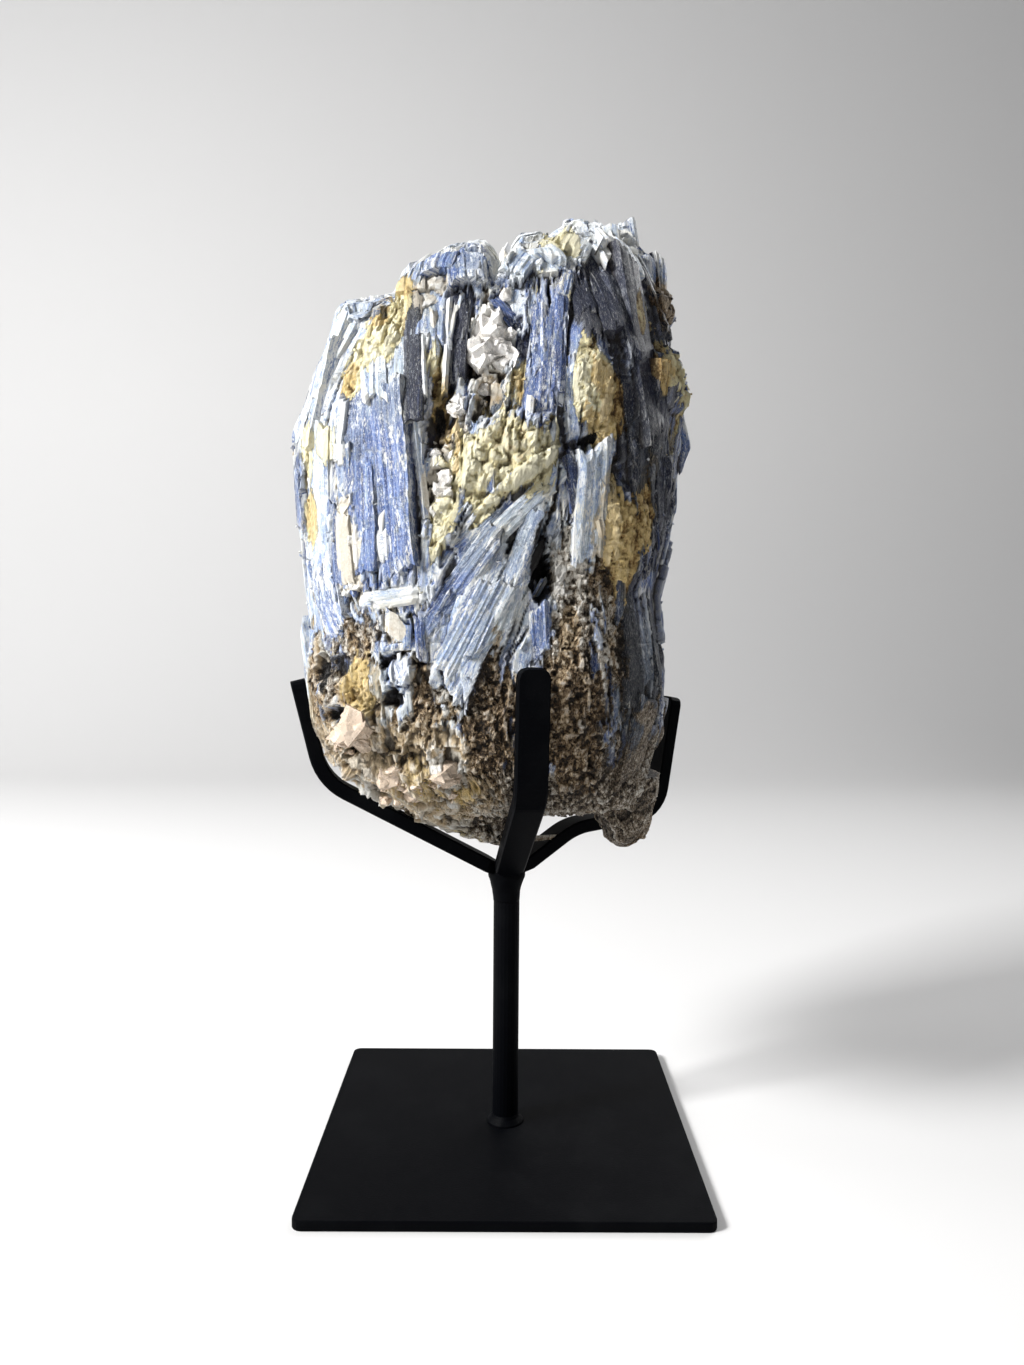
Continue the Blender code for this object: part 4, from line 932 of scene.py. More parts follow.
def frontPieces(finish):
    plan = sheets["front"]
    chance = random.Random(plan["seed"])
    shape = StoneMesh()
    for x, height, length, width, lean, turn, pitch, lift, tone, fray in frontList:
        place, axes = surfaceFrame(frontAzimuth(x, height), height)
        ownAxes = (axes.T @ turned(lean, turn, pitch)).T
        strip = 15.0 if abs(lean) > 20 else plan["width"] + 0.25 * width
        count = max(1, int(round(width / strip)))
        edges = [-width / 2 + width * (k + chance.uniform(-0.25, 0.25)) / count for k in range(1, count)]
        for left, right in zip([-width / 2] + edges, edges + [width / 2]):
            part = length * chance.uniform(*plan["part"])
            offset = (length - part) * chance.uniform(*plan["slide"])
            spot = place + ownAxes[0] * (left + right) / 2 + ownAxes[1] * offset
            spot = spot + ownAxes[2] * (lift + chance.uniform(*plan["sink"]))
            own = (ownAxes.T @ turned(*(chance.gauss(0, reach) for reach in plan["waver"]))).T
            bladeSheet(shape, spot, own, part, (right - left) * sheets["overlap"], sheets["thick"],
                       unit(tone + chance.gauss(0, plan["stray"])), fray, chance)
    shape.make("blades_front", finish)


def sidePieces(finish):
    plan = sheets["side"]
    chance = random.Random(sideBlades["breakSeed"])
    shape = StoneMesh()
    for azimuth, level, length, width, lean, turn, pitch, lift in sideList():
        count = max(1, int(round(width / plan["width"])))
        _, _, halfX, halfY = levelAt(min(level, 305))
        for k in range(count):
            if chance.random() < plan["missing"]:
                continue
            across = width * ((k + 0.5) / count - 0.5)
            angle = azimuth + math.degrees(across / ((halfX + halfY) / 2))
            part = length * chance.uniform(*plan["part"])
            place, axes = surfaceFrame(angle, level)
            own = (axes.T @ turned(lean + chance.gauss(0, plan["waver"]), turn * 0.5, pitch)).T
            spot = place + own[1] * (length - part) * chance.uniform(*plan["slide"]) + own[2] * (lift - 0.3)
            tone = unit(float(darkness(place[None, :])[0]) + chance.gauss(0, plan["stray"]))
            bladeSheet(shape, spot, own, part, width / count * sheets["overlap"], sheets["thick"], tone,
                       min(0.8, max(0.1, 0.65 - 0.5 * tone)), chance, resist=0.0)
    shape.make("blades_sides", finish)


def sliverPieces(sheet, finish):
    # Thin loose slivers lying along the blades, mostly where the rock is bladed
    plan = sheets["slivers"]
    chance = random.Random(plan["seed"])
    shape = StoneMesh()
    laid = 0
    low, high = plan["heights"]
    leanWaver, turnWaver, pitchWaver = plan["waver"]
    while laid < plan["count"]:
        at = chance.randrange(sheet.rows), chance.randrange(sheet.columns)
        z = sheet.points[at][2]
        if z < low or z > high or chance.random() < sheet.grainy[at] * 1.15:
            continue
        spot = sheet.moved[at]
        _, axes = surfaceFrame(math.degrees(math.atan2(spot[1], spot[0])), z)
        lean = bladeLean(*sheet.points[at], chance) + chance.gauss(0, leanWaver)
        own = (axes.T @ turned(lean, chance.gauss(0, turnWaver), chance.gauss(0, pitchWaver))).T
        tone = float(sheet.tone[at]) + chance.gauss(0, plan["stray"])
        bladeSheet(shape, spot + own[2] * chance.uniform(*plan["rise"]), own, chance.uniform(*plan["length"]),
                   chance.uniform(*plan["width"]), plan["thick"], unit(tone), chance.uniform(0.3, 0.8), chance,
                   resist=0.1)
        laid += 1
    shape.make("slivers", finish)


topBlades = {
    "length": 26.0, "seed": 67, "layers": 2, "drop": (3.8, 7.0),
    # x, y, top height, width, thickness, lean, turn, tone
    "ends": [
        (-50, -8, 292.5, 13, 8, 10, -50, 0.25), (-44, 14, 291, 14, 9, 8, 35, 0.45),
        (-43, -20, 290, 9, 9, 6, -10, 0.3), (-35, -17, 299, 8, 9, 4, -10, 0.25), (-28, 2, 308, 14, 9, 3, 15, 0.35),
        (-26, 20, 304, 15, 9, 4, 50, 0.55), (-21, -18, 306, 12, 10, 2, -8, 0.3), (-12, 6, 312, 13, 10, -2, 20, 0.4),
        (-11, -21, 306, 7, 8, -3, 5, 0.5), (-5, 26, 303, 15, 9, 5, -10, 0.4), (3.6, -14, 312, 9, 9, 8, -15, 0.3),
        (8, 12, 313, 14, 10, 3, 30, 0.35), (14, -20, 312.5, 14, 10, -6, 5, 0.2), (18, 22, 310, 15, 9, -4, -30, 0.6),
        (23, -2, 318.5, 15, 10, 2, 15, 0.25), (29, -20, 314.5, 13, 9, -5, -5, 0.18),
        (33, 14, 314, 14, 10, -6, 35, 0.45), (38, -8, 321.6, 9, 9, -3, 20, 0.22), (43, 6, 313, 11, 8, -8, 60, 0.4),
        (46, -16, 308, 9, 8, -6, 40, 0.5),
    ],
}


def topPieces(finish):
    plan = topBlades
    chance = random.Random(plan["seed"])
    shape = StoneMesh()
    upright = np.array(Matrix.Rotation(math.radians(90), 3, "X"))
    for x, y, top, width, thick, lean, turn, tone in plan["ends"]:
        spin = np.array(Matrix.Rotation(math.radians(turn), 3, "Z")) @ upright
        for layer in range(plan["layers"]):
            for half in (-0.25, 0.25):
                drop = chance.uniform(*plan["drop"])
                axes = (spin @ np.array(Matrix.Rotation(math.radians(-lean + chance.gauss(0, 3)), 3, "Z"))).T
                middle = np.array([x, y, top - drop - plan["length"] / 2])
                outer = thick / 2 - layer * thick / plan["layers"]
                bladeSheet(shape, middle + axes[2] * outer + axes[0] * width * half, axes, plan["length"],
                           width / 2, thick / plan["layers"], unit(tone - 0.08 + chance.gauss(0, 0.08)),
                           0.55, chance, ragged=1.2)
    shape.make("blades_top", finish)


# Small flakes and grains broken loose on the granular patches

chips = {
    "count": 4600, "size": (0.3, 1.1), "thick": (0.08, 0.28), "tilt": 0.6, "rise": (-0.15, 0.35), "seed": 83,
    "keep": {"mica": 1.0, "cream": 0.5, "quartz": 0.2}, "bare": 0.10,    # share kept on each mineral, and on bare blade
}


def chipPieces(sheet, finish):
    plan = chips
    chance = random.Random(plan["seed"])
    shape = StoneMesh()
    laid = 0
    while laid < plan["count"]:
        at = chance.randrange(sheet.rows), chance.randrange(sheet.columns)
        keep = max(sheet.fields[key][at] * share for key, share in plan["keep"].items())
        if chance.random() > max(keep, plan["bare"]):
            continue
        normal = sheet.normals[at]
        tilted = normal + np.array([chance.gauss(0, plan["tilt"]) for _ in range(3)])
        tilted = tilted / np.linalg.norm(tilted)
        first = np.cross(tilted, [0.3, 0.2, 0.93])    # any way that a chip seldom faces
        first = first / np.linalg.norm(first)
        second = np.cross(tilted, first)
        size, thick = chance.uniform(*plan["size"]), chance.uniform(*plan["thick"])
        sides = chance.choice((4, 5, 6))
        spin = chance.uniform(0, 6.28)
        points = []
        for level in (-thick, thick):
            for k in range(sides):
                angle = spin + 2 * math.pi * k / sides
                reach = size * (0.8 + 0.35 * math.sin(k * 2.4 + spin))
                points.append(tilted * level + first * reach * math.cos(angle) + second * reach * 0.7 * math.sin(angle))
        points = sheet.moved[at] + normal * chance.uniform(*plan["rise"]) + np.array(points)
        faces = [tuple(reversed(range(sides))), tuple(range(sides, 2 * sides))]
        faces += [(k, (k + 1) % sides, sides + (k + 1) % sides, sides + k) for k in range(sides)]
        tone = unit(float(sheet.tone[at]) + chance.gauss(0, 0.16))
        shape.add(points, faces, points, tone, chance.uniform(0.2, 0.9), chance.uniform(0.45, 0.8),
                  float(sheet.own[at]))
        laid += 1
    shape.make("chips", finish)


# Clear quartz: broken lumps in the hollow, on the ridge beside it and low on the left

quartz = {
    "seed": 91, "corners": 10, "squash": (0.7, 1.1), "cuts": 3,
    "broken": (2.6, 401, 0.7), "uneven": (1.4, 2, 403, 0.25),    # facets: cell, seed, size; cell, octaves, seed, size
    # x, height, spread across, spread up, how many, least and most radius, lift
    "groups": [
        (-4.5, 271, 2.5, 3, 4, 5.6, 7, -1.8), (-6.5, 263, 2.5, 2, 4, 5.6, 7, -2), (-2, 261, 2, 2, 3, 4, 5, -1.4),
        (-5, 267, 5.5, 8, 9, 1.8, 3.2, 0.4), (-1.4, 280, 0.6, 0.6, 1, 2.8, 3, 0.4),
        (-6.5, 251, 3.6, 4, 4, 2.4, 3.6, -3.2), (-15.6, 240, 2, 7, 8, 2.6, 4, -0.2),
        (-20, 222, 2.4, 8, 11, 2.4, 3.8, -0.2), (-45.5, 145.5, 2.4, 3.4, 3, 8, 9.4, -0.4),
        (-46, 146, 6, 7, 5, 2, 3.4, 1.6), (-28, 131, 9, 6, 9, 4.4, 6.6, -1.2), (-26, 129, 12, 6, 10, 1.6, 2.8, 1),
        (-49, 205, 1.8, 10, 6, 2.2, 3.8, -1.4), (48, 286, 1, 4, 3, 2.4, 3.6, -0.2),
    ],
}


def quartzPieces(finish):
    plan = quartz
    chance = random.Random(plan["seed"])
    whole = bmesh.new()
    for x, height, wide, tall, count, least, most, lift in plan["groups"]:
        for _ in range(count):
            px, pz = x + chance.uniform(-wide, wide), height + chance.uniform(-tall, tall)
            place, axes = surfaceFrame(frontAzimuth(px, pz), pz)
            middle = place + axes[2] * (lift + chance.uniform(-0.6, 0.6))
            radius = chance.uniform(least, most)
            stretch = np.array([chance.uniform(*plan["squash"]) for _ in range(3)])
            spin = np.array(Matrix.Rotation(chance.uniform(0, 6.28), 3, (chance.random(), chance.random(), 1)))
            corners = []
            for _ in range(plan["corners"]):
                way = np.array([chance.gauss(0, 1) for _ in range(3)])
                corners.append(spin @ (way / np.linalg.norm(way) * radius * stretch))
            points = clearOfArms(middle + np.array(corners))
            made = [whole.verts.new(Vector(point) * mm) for point in points]
            result = bmesh.ops.convex_hull(whole, input=made)
            loose = [v for v in result["geom_interior"] if isinstance(v, bmesh.types.BMVert)]
            bmesh.ops.delete(whole, geom=loose, context="VERTS")
    bmesh.ops.subdivide_edges(whole, edges=whole.edges[:], cuts=plan["cuts"], use_grid_fill=True)
    spots = np.array([vert.co[:] for vert in whole.verts]) / mm
    cell, seed, size = plan["broken"]
    _, own, slope = grains(spots, cell, seed)
    *uneven, depth = plan["uneven"]
    shift = (own - 0.5 + 0.8 * slope) * size + fractal(spots, *uneven) * depth
    whole.normal_update()
    for vert, by in zip(whole.verts, shift):
        vert.co += vert.normal * float(by) * mm
    mesh = bpy.data.meshes.new("quartz_lumps")
    whole.to_mesh(mesh)
    whole.free()
    mesh.materials.append(finish)
    addStone("quartz_lumps", mesh)
    print("quartz lumps made,", len(mesh.polygons), "faces")


# Lobes under the stone

lobes = {
    "around": 170, "rows": 64,
    "keel": [
        (133, -17, -2, 38, 35), (129, -17, -2, 36, 33), (121, -16, -2, 29, 26), (114, -14, -2, 21, 17),
        (108, -7, -3, 10.5, 9.5), (104.6, -2.4, -4, 4.5, 4.5), (103.2, -2.2, -4.2, 1.2, 1.2),
    ],
    "nose": [
        (130, 38, -8, 14, 18), (126, 39, -7, 13, 17), (119, 40, -5, 11.5, 14), (112, 41.5, -4.5, 8.6, 10.5),
        (106.5, 41, -4, 6.4, 8), (103.6, 40.6, -4, 2.6, 3.4),
    ],
    "rough": {"keel": 2.0, "nose": 1.2}, "tone": {"keel": 0.62, "nose": 0.74},
    "facets": ((4.6, 1.0, 127), (2.2, 0.55, 137)),    # cell, share, seed
}


def lobePieces(finish):
    around, rows = lobes["around"], lobes["rows"]
    turns = np.linspace(0, 2 * math.pi, around + 1)[:-1]
    for kind in ("keel", "nose"):
        table = np.array(lobes[kind], float)[::-1]
        heights = np.linspace(table[0, 0], table[-1, 0], rows)
        cx, cy, halfX, halfY = (np.interp(heights, table[:, 0], table[:, k]) for k in (1, 2, 3, 4))
        x = cx[:, None] + halfX[:, None] * np.cos(turns)
        y = cy[:, None] + halfY[:, None] * np.sin(turns)
        points = np.stack([x, y, np.repeat(heights[:, None], around, 1)], -1).reshape(-1, 3)
        out = np.stack([np.tile(np.cos(turns), rows), np.tile(np.sin(turns), rows), np.full(len(points), -0.5)], -1)
        rough = lobes["rough"][kind]
        relief = rough * fractal(points, 9, 4, 33)
        for cell, share, seed in lobes["facets"]:
            gap, own, slope = grains(points, cell, seed)
            relief += rough * share * 0.7 * (own - 0.5 + 0.8 * slope)
        relief *= np.repeat(smooth(0, 6, np.arange(rows)), around)
        # hollow: how far each point stands out, which the finish paints as shade in the hollows and highlight on ridges
        hollow = np.clip(0.5 + standsOut(relief.reshape(rows, around), (2, 3, 0.6), (6, 9, 0.2)), 0, 1)
        index, _, quads = ringFaces(rows, around)
        quads = quads.tolist() + [tuple(index[0][::-1].tolist()), tuple(index[-1].tolist())]
        shape = StoneMesh()
        tone = np.clip(lobes["tone"][kind] + 0.35 * fractal(points, 8, 3, 141), 0, 1)
        shape.add(points + out * relief[:, None], quads, points, tone, 0.4, hollow.ravel(), 0.5, -0.2)
        shape.make("stone_" + kind, finish)


# Finishes

class Nodes:
    # Short ways to add and join shader nodes
    def __init__(self, name):
        self.material = bpy.data.materials.new(name)
        self.material.use_nodes = True
        self.tree = self.material.node_tree
        self.shader = self.tree.nodes["Principled BSDF"]

    def put(self, kind, **inputs):
        node = self.tree.nodes.new(kind)
        for key, value in inputs.items():
            self.feed(node.inputs[key.replace("_", " ")], value)
        return node

    def feed(self, socket, value):
        if isinstance(value, bpy.types.NodeSocket):
            self.tree.links.new(value, socket)
        else:
            socket.default_value = value

    def attribute(self, name):
        node = self.tree.nodes.new("ShaderNodeAttribute")
        node.attribute_name = name
        return node

    def math(self, operation, a, b=0.0):
        node = self.tree.nodes.new("ShaderNodeMath")
        node.operation = operation
        self.feed(node.inputs[0], a)
        self.feed(node.inputs[1], b)
        return node.outputs[0]

    def plus(self, total, *others):
        for other in others:
            total = self.math("ADD", total, other)
        return total

    def times(self, total, *others):
        for other in others:
            total = self.math("MULTIPLY", total, other)
        return total

    def swing(self, value, reach):
        # Noise about its middle, stretched to a reach either way
        return self.times(self.math("SUBTRACT", value, 0.5), reach)

    def scaled(self, vector, scale):
        node = self.tree.nodes.new("ShaderNodeVectorMath")
        node.operation = "MULTIPLY"
        self.feed(node.inputs[0], vector)
        node.inputs[1].default_value = scale
        return node.outputs[0]

    def noise(self, vector, scale, detail=4.0, rough=0.55, twist=0.0):
        node = self.put("ShaderNodeTexNoise", Vector=vector, Scale=scale, Detail=detail, Roughness=rough,
                        Distortion=twist)
        return node.outputs["Fac"]

    def between(self, value, low, high):
        node = self.tree.nodes.new("ShaderNodeMapRange")
        node.interpolation_type = "SMOOTHSTEP"
        self.feed(node.inputs["Value"], value)
        node.inputs["From Min"].default_value = low
        node.inputs["From Max"].default_value = high
        return node.outputs["Result"]

    def ramp(self, value, stops):
        node = self.tree.nodes.new("ShaderNodeValToRGB")
        self.feed(node.inputs[0], value)
        ramp = node.color_ramp
        while len(ramp.elements) < len(stops):
            ramp.elements.new(0.5)
        for element, (place, colour) in zip(ramp.elements, stops):
            element.position = place
            element.color = (*colour, 1)
        return node.outputs[0]

    def mixColour(self, share, a, b, blend="MIX"):
        node = self.tree.nodes.new("ShaderNodeMix")
        node.data_type = "RGBA"
        node.blend_type = blend
        self.feed(node.inputs[0], share)
        for socket, value in ((node.inputs[6], a), (node.inputs[7], b)):
            self.feed(socket, (*value, 1) if isinstance(value, tuple) else value)
        return node.outputs[2]

    def mixValue(self, share, a, b):
        node = self.tree.nodes.new("ShaderNodeMix")
        for slot, value in ((0, share), (2, a), (3, b)):
            self.feed(node.inputs[slot], value)
        return node.outputs[0]

    def bump(self, height, strength, distance, **under):
        node = self.put("ShaderNodeBump", Height=height, Strength=strength, Distance=distance, **under)
        return node.outputs["Normal"]

    def finished(self, colour, rough, normal, fixed):
        for key, value in (("Base Color", colour), ("Roughness", rough), ("Normal", normal)):
            self.feed(self.shader.inputs[key], value)
        for key, value in fixed.items():
            self.shader.inputs[key].default_value = value
        return self.material


stoneFinish = {
    # colour stops from pale to dark, or from crevice to ridge
    "blade": [(0.0, (0.56, 0.62, 0.67)), (0.18, (0.35, 0.45, 0.62)), (0.38, (0.130, 0.205, 0.450)),
              (0.56, (0.045, 0.088, 0.255)), (0.74, (0.013, 0.028, 0.098)), (1.0, (0.004, 0.008, 0.030))],
    "slate": [(0.0, (0.58, 0.62, 0.60)), (0.3, (0.33, 0.38, 0.40)), (0.55, (0.125, 0.16, 0.20)),
              (0.8, (0.030, 0.042, 0.060)), (1.0, (0.008, 0.011, 0.017))],
    "cream": [(0.0, (0.14, 0.085, 0.035)), (0.25, (0.46, 0.34, 0.16)), (0.45, (0.76, 0.66, 0.40)),
              (0.65, (0.93, 0.83, 0.47)), (1.0, (0.98, 0.92, 0.66))],
    "mica": [(0.0, (0.010, 0.008, 0.006)), (0.3, (0.066, 0.047, 0.030)), (0.5, (0.19, 0.143, 0.095)),
             (0.7, (0.42, 0.35, 0.26)), (1.0, (0.82, 0.77, 0.68))],
    "quartz": [(0.0, (0.16, 0.125, 0.085)), (0.35, (0.42, 0.37, 0.29)), (0.7, (0.62, 0.57, 0.48)),
               (1.0, (0.84, 0.81, 0.74))],
    # the pale flake colour is also used as painted highlight along ridges
    "flakeAndHighlight": [(0.3, (0.80, 0.76, 0.64)), (0.6, (0.79, 0.82, 0.85))],
    # the dark dirt colour below marks specks and cracks and is also painted shade in the hollows; the near-black one is
    # painted shadow in the pits
    "stain": (0.80, 0.63, 0.40), "grimeAndShade": (0.035, 0.028, 0.022), "pitShade": (0.006, 0.005, 0.005),
    "crackShare": 0.7, "dust": (0.60, 0.57, 0.45), "dustShare": 0.5,
    # noise through the rock: scale, detail, roughness
    "rockNoise": {"patch": (330, 5, 0.55), "grit": (1250, 4, 0.7), "broad": (100, 4, 0.55)},
    # noise on the blades: scale across, along and from blade to blade, detail, roughness
    "bladeNoise": {
        "streak": ((1.2, 0.055, 1.0), 5, 0.55), "fineStreak": ((5.0, 0.2, 1.0), 4, 0.65),
        "ragged": ((1.9, 0.55, 1.0), 8, 0.74), "dust": ((0.5, 0.09, 1.0), 6, 0.7),
        "peel": ((0.34, 0.12, 1.0), 5, 0.62), "hairs": ((6.5, 0.7, 1.0), 5, 0.75),
        "speckle": ((2.4, 0.9, 1.0), 7, 0.8), "crack": ((0.10, 0.30, 1.0), 5, 0.6),
    },
    "micaHair": (1500, 1500, 620),
    "fixed": {"Specular IOR Level": 0.3, "Coat Weight": 0.06, "Coat Roughness": 0.3},
}


def stoneMaterial():
    look = stoneFinish
    n = Nodes("kyanite_rock")
    place = n.put("ShaderNodeTexCoord").outputs["Object"]
    grain = n.attribute("grain").outputs["Vector"]
    amount = {key: n.attribute(key).outputs["Fac"] for key in ("tone", "fray", "hollow", *minerals)}
    noise = {key: n.noise(place, *plan) for key, plan in look["rockNoise"].items()}
    for key, (scale, *plan) in look["bladeNoise"].items():
        noise[key] = n.noise(n.scaled(grain, scale), 1.0, *plan)
    tone, hollow, broad = amount["tone"], amount["hollow"], noise["broad"]
    flakeAndHighlight = n.ramp(broad, look["flakeAndHighlight"])
    shade = n.between(tone, 1.05, 0.35)

    def cover(share, top):
        nonlocal colour
        colour = n.mixColour(share, colour, top)

    # the blades, blue or grey, under dust, specks, scratches, nicks, frayed ends and cracks
    # the blue is deeper in hollows and paler where the surface stands out: painted shade and painted highlight
    depth = n.plus(tone, n.swing(noise["streak"], 1.1), n.swing(noise["fineStreak"], 0.7), n.swing(hollow, -0.35),
                   n.times(n.between(tone, 0.7, 0.95), 0.32))
    greyPatch = n.times(n.between(noise["patch"], 0.5, 0.66), n.mixValue(n.between(tone, 1.0, 0.6), 0.2, 0.6))
    greyness = n.math("MAXIMUM", n.times(amount["slate"], 0.85), greyPatch)
    colour = n.mixColour(greyness, n.ramp(depth, look["blade"]), n.ramp(depth, look["slate"]))
    cover(n.times(n.between(noise["dust"], 0.54, 0.66), look["dustShare"], n.between(tone, 0.95, 0.3)), look["dust"])
    cover(n.times(n.between(noise["speckle"], 0.565, 0.595), n.mixValue(shade, 0.12, 0.75)), flakeAndHighlight)
    cover(n.times(n.between(noise["hairs"], 0.55, 0.62), n.mixValue(shade, 0.42, 0.6)), flakeAndHighlight)
    cover(n.times(n.between(noise["speckle"], 0.425, 0.39), 0.6), look["grimeAndShade"])
    flaking = n.plus(n.mixValue(0.5, noise["ragged"], noise["peel"]), n.times(amount["fray"], 0.18),
                     n.swing(noise["hairs"], 0.3))
    frayed = n.between(flaking, 0.605, 0.640)
    cover(n.times(frayed, n.mixValue(shade, 0.2, 0.92)), flakeAndHighlight)
    line = n.math("ABSOLUTE", n.swing(noise["crack"], 1.0))
    cracked = n.times(n.between(line, 0.008, 0.002), n.between(broad, 0.48, 0.56))
    cover(n.times(cracked, look["crackShare"]), look["grimeAndShade"])

    # the other minerals, their edges broken by the same noise
    edge = n.plus(n.swing(noise["ragged"], 1.5), n.swing(noise["fineStreak"], 0.7))
    mica, cream, quartz = (n.between(n.plus(amount[key], edge), 0.44, 0.54) for key in ("mica", "cream", "quartz"))

    # lighter where the surface stands out and darker in hollows: painted highlight and painted shade, with grit noise
    # and the tone
    def byRelief(gritReach, toneShare, base):
        value = n.plus(n.swing(hollow, 0.8), n.swing(noise["grit"], gritReach))
        return n.plus(n.math("SUBTRACT", value, n.times(tone, toneShare)), base)

    micaHair = n.noise(n.scaled(place, look["micaHair"]), 1.0, 5, 0.72, 1.4)
    micaValue = n.plus(byRelief(1.2, 0.85, 1.02), n.swing(micaHair, 3.0), n.swing(broad, 0.8))
    creamPatch = n.plus(n.swing(noise["patch"], 1.2), n.swing(noise["streak"], 0.9))
    cover(mica, n.ramp(micaValue, look["mica"]))
    cover(quartz, n.ramp(byRelief(0.8, 0.5, 0.85), look["quartz"]))
    cover(cream, n.ramp(n.plus(byRelief(1.4, 0.9, 1.10), creamPatch), look["cream"]))

    # rust, painted shade in the hollows in a dark dirt colour, painted highlight on ridges, and painted shadow in the
    # pits
    stain = n.between(n.plus(amount["rust"], n.swing(noise["patch"], 1.6)), 0.30, 0.75)
    colour = n.mixColour(n.times(stain, 0.8), colour, look["stain"], "MULTIPLY")
    # painted shade: the hollows darkened towards the dark dirt colour
    cover(n.times(n.between(hollow, 0.42, 0.05), n.mixValue(cream, 0.85, 0.5)), look["grimeAndShade"])
    # painted highlight: ridges that stand out are lightened with the pale flake colour
    cover(n.times(n.between(hollow, 0.62, 1.0), n.mixValue(shade, 0.08, 0.4), n.mixValue(cream, 1.0, 0.25)), flakeAndHighlight)
    # painted shadow: the pits turned near black
    cover(n.between(n.plus(amount["pits"], edge), 0.4, 0.7), look["pitShade"])

    rough = n.mixValue(noise["fineStreak"], 0.18, 0.5)
    micaRough = n.mixValue(n.between(noise["grit"], 0.35, 0.65), 0.9, 0.3)
    for share, value in ((frayed, 0.7), (mica, micaRough), (quartz, 0.28), (cream, 0.85)):
        rough = n.mixValue(share, rough, value)
    lines = n.bump(n.mixValue(0.5, noise["fineStreak"], noise["hairs"]), 0.8, 0.0006)
    flakes = n.bump(noise["ragged"], 0.5, 0.0008, Normal=lines)
    grits = n.bump(n.times(micaHair, n.math("MAXIMUM", mica, cream)), 0.85, 0.0012, Normal=flakes)
    return n.finished(colour, rough, grits, look["fixed"])


quartzFinish = {
    "clear": (0.96, 0.94, 0.91), "cloudy": (0.94, 0.90, 0.84), "low": (0.74, 0.60, 0.47),
    "lowBelow": (0.172, 0.150), "fixed": {"Transmission Weight": 0.3, "IOR": 1.54},
}


def quartzMaterial():
    look = quartzFinish
    n = Nodes("cloudy_quartz")
    place = n.put("ShaderNodeTexCoord").outputs["Object"]
    cloud = n.between(n.noise(place, 420, 5, 0.65), 0.42, 0.62)
    height = n.put("ShaderNodeSeparateXYZ", Vector=place).outputs["Z"]
    pale = n.mixColour(cloud, look["clear"], look["cloudy"])
    colour = n.mixColour(n.between(height, *look["lowBelow"]), pale, look["low"])
    uneven = n.bump(n.noise(place, 900, 3), 0.35, 0.0005)
    return n.finished(colour, n.mixValue(cloud, 0.08, 0.42), uneven, look["fixed"])


coatFinish = {
    "black": (0.0008, 0.0010, 0.0017), "worn": (0.0026, 0.0029, 0.0036), "speck": (0.34, 0.33, 0.31),
    "rough": (0.5, 0.62), "fixed": {"Specular IOR Level": 0.03},
    # level of noise above which specks of dust lie on the plate and on the bars
    "specksAbove": {"plate": 0.76, "bars": 0.80},
}


def coatMaterial(kind):
    look = coatFinish
    n = Nodes("powder_coat_" + kind)
    place = n.put("ShaderNodeTexCoord").outputs["Object"]
    broad = n.noise(place, 45, 4)
    colour = n.mixColour(n.between(broad, 0.45, 0.75), look["black"], look["worn"])
    start = look["specksAbove"][kind]
    dust = n.times(n.between(n.noise(place, 1900, 2, 0.7), start, start + 0.04),
                   n.between(n.noise(place, 70, 3), 0.5, 0.7))
    colour = n.mixColour(n.times(dust, 0.6), colour, look["speck"])
    orange = n.bump(n.noise(place, 1500, 3), 0.25, 0.0002)    # orange peel of the coat
    return n.finished(colour, n.mixValue(broad, *look["rough"]), orange, look["fixed"])


def dressStand():
    plate, bars = coatMaterial("plate"), coatMaterial("bars")
    for name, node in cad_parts.items():
        if name == "kyanite_cluster":
            continue
        node.data.materials.clear()
        node.data.materials.append(plate if name == "base_plate" else bars)
    print("stand dressed")
    return bars


# Weld beads at the neck and the foot of the post

welds = {
    "around": 96,
    # height, radius of the neck bead, then of the foot bead
    "neck": [(83.0, 4.7), (86.5, 5.0), (89.5, 5.8), (91.8, 6.5), (93.4, 6.5), (94.8, 5.4), (95.8, 3.6)],
    "foot": [(3.25, 6.6), (3.7, 6.5), (4.4, 5.9), (5.3, 5.1), (6.2, 4.65)],
    "levels": 28, "ripple": (0.063, 4.0, 2, 3),    # size, cell, octaves, seed
}


def weldPieces(finish):
    turns = np.linspace(0, 2 * math.pi, welds["around"] + 1)[:-1]
    size, *ripple = welds["ripple"]
    for kind in ("neck", "foot"):
        table = np.array(welds[kind])
        heights = np.linspace(table[0, 0], table[-1, 0], welds["levels"])
        radius = np.interp(heights, table[:, 0], table[:, 1])
        ring = np.stack([np.outer(radius, np.cos(turns)), np.outer(radius, np.sin(turns)),
                         np.repeat(heights[:, None], len(turns), 1)], -1).reshape(-1, 3)
        ring[:, :2] *= (1 + size * fractal(ring, *ripple))[:, None]
        index, _, faces = ringFaces(len(heights), len(turns))
        mesh = bpy.data.meshes.new("weld_" + kind)
        mesh.from_pydata((ring * mm).tolist(), [], faces.tolist() + [index[0][::-1].tolist(), index[-1].tolist()])
        mesh.polygons.foreach_set("use_smooth", [True] * len(mesh.polygons))
        mesh.materials.append(finish)
        bead = linked("weld_" + kind, mesh)
        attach(bead, "root")
    print("weld beads made")


# Floor, backdrop, light and camera

stageSetup = {
    "floor": (0.68, 0.675, 0.67), "rough": 0.9, "size": 5.0, "wallAt": 1.5, "curve": 0.6, "curveSteps": 16,
    # where each lamp stands, what it faces, its width, its watts and its spread, less where it would light the backdrop
    "lamps": {
        "window": ((-1.0, -0.50, 0.84), (0.0, 0.0, 0.22), 0.3, 31.0, 180),
        "wall": ((-1.6, 0.1, 1.0), (-0.5, 1.5, 0.5), 1.2, 20.0, 180),
        "back": ((0.9, 0.9, 1.1), (0.0, 0.0, 0.2), 1.2, 3.0, 60),
    },
    "sky": ((0.93, 0.95, 1.0), 0.14), "view": "Standard",
}


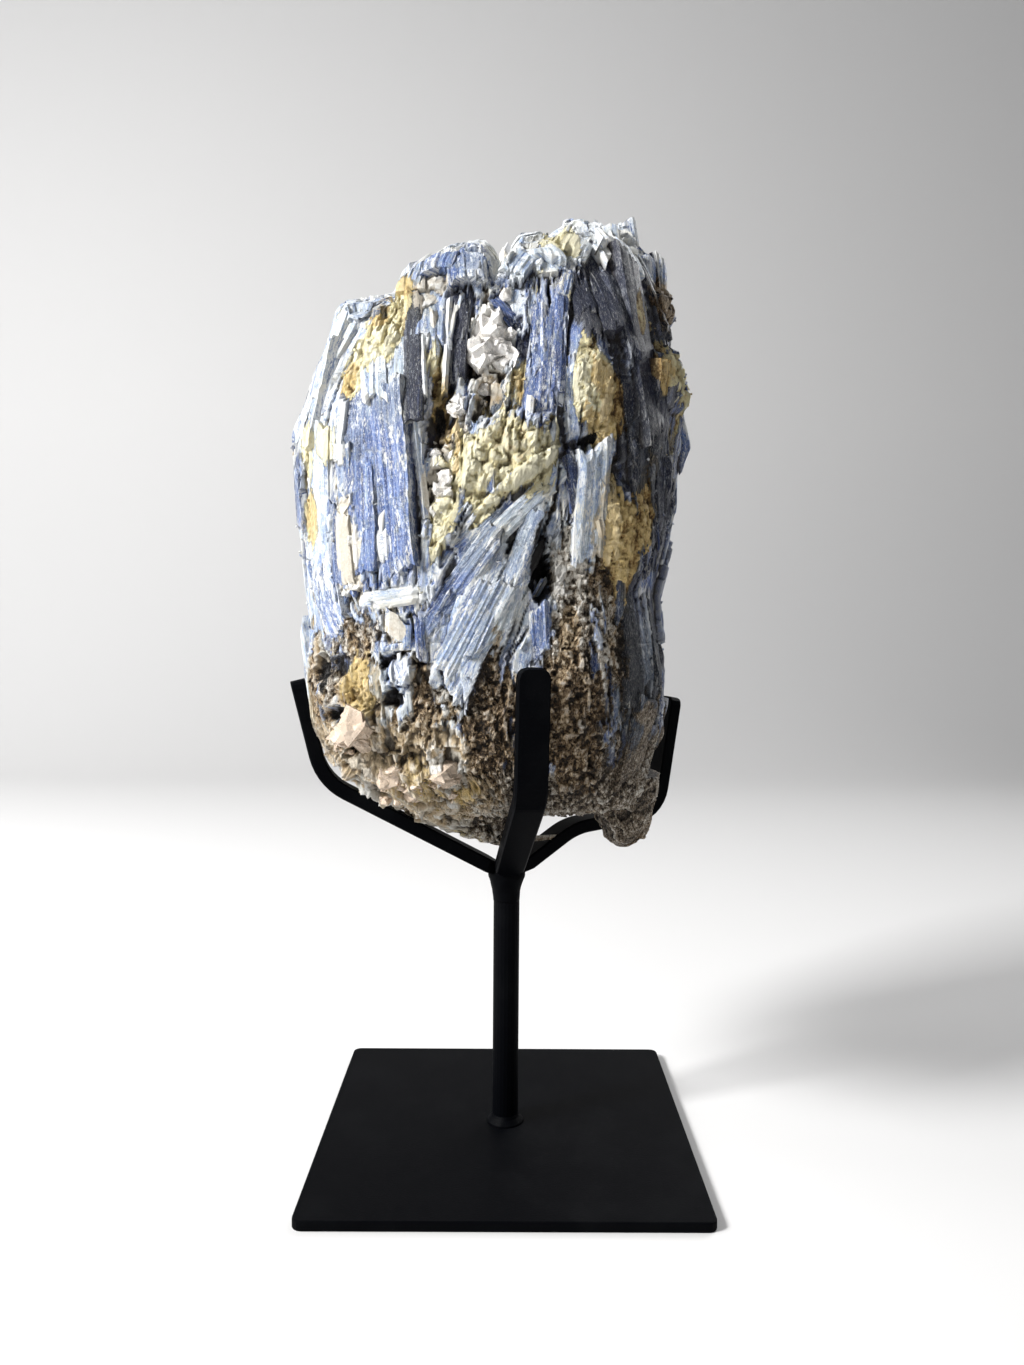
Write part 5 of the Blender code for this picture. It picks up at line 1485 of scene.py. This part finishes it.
def makeStage():
    look = stageSetup
    half, wallAt, curve = look["size"] / 2, look["wallAt"], look["curve"]
    profile = [(-half, 0.0), (wallAt - curve, 0.0)]
    for k in range(1, look["curveSteps"] + 1):
        angle = math.pi / 2 * k / look["curveSteps"]
        profile.append((wallAt - curve + curve * math.sin(angle), curve * (1 - math.cos(angle))))
    profile.append((wallAt, look["size"]))
    points = [(x, y, z) for y, z in profile for x in (-half, half)]
    mesh = bpy.data.meshes.new("backdrop")
    mesh.from_pydata(points, [], [(2 * i, 2 * i + 1, 2 * i + 3, 2 * i + 2) for i in range(len(profile) - 1)])
    mesh.polygons.foreach_set("use_smooth", [True] * len(mesh.polygons))
    n = Nodes("backdrop")
    n.shader.inputs["Base Color"].default_value = (*look["floor"], 1)
    n.shader.inputs["Roughness"].default_value = look["rough"]
    mesh.materials.append(n.material)
    backdrop = linked("backdrop", mesh)
    world = bpy.data.worlds.new("studio")
    world.use_nodes = True
    sky = world.node_tree.nodes["Background"]
    colour, strength = look["sky"]
    sky.inputs[0].default_value = (*colour, 1)
    sky.inputs[1].default_value = strength
    bpy.context.scene.world = world
    for name, (place, aim, width, watts, spread) in look["lamps"].items():
        lamp = bpy.data.lights.new(name, "AREA")
        lamp.size = width
        lamp.energy = watts
        lamp.spread = math.radians(spread)
        light = linked(name, lamp)
        light.location = place
        light.rotation_euler = (Vector(aim) - light.location).to_track_quat("-Z", "Y").to_euler()
    bpy.context.scene.view_settings.view_transform = look["view"]
    print("stage made")


cameraSetup = {
    "place": (-0.000483, -0.35245, 0.17423), "pitch": 2.262, "yaw": 0.305, "roll": 0.400,
    "focalPixels": 1000.0, "imageHeight": 1365.0, "sensor": 36.0,
}


def makeCamera():
    plan = cameraSetup
    pitch, yaw, roll = (math.radians(plan[key]) for key in ("pitch", "yaw", "roll"))
    ahead = Vector((math.sin(yaw) * math.cos(pitch), math.cos(yaw) * math.cos(pitch), -math.sin(pitch)))
    level = Vector((math.cos(yaw), -math.sin(yaw), 0))
    above = level.cross(ahead)
    right = level * math.cos(roll) + above * math.sin(roll)
    up = above * math.cos(roll) - level * math.sin(roll)
    lens = bpy.data.cameras.new("camera")
    lens.sensor_width = plan["sensor"]
    lens.lens = plan["focalPixels"] * plan["sensor"] / plan["imageHeight"]
    camera = linked("camera", lens)
    turn = Matrix((right, up, -ahead)).transposed().to_4x4()
    camera.matrix_world = Matrix.Translation(plan["place"]) @ turn
    bpy.context.scene.camera = camera
    print("camera placed")


makeCamera()
makeStage()
weldPieces(dressStand())
rock = stoneMaterial()
sheet = makeCrust()
stonePieces = crustPieces(sheet, rock)
frontPieces(rock)
sidePieces(rock)
topPieces(rock)
lobePieces(rock)
sliverPieces(sheet, rock)
chipPieces(sheet, rock)
quartzPieces(quartzMaterial())
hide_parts("kyanite_cluster")
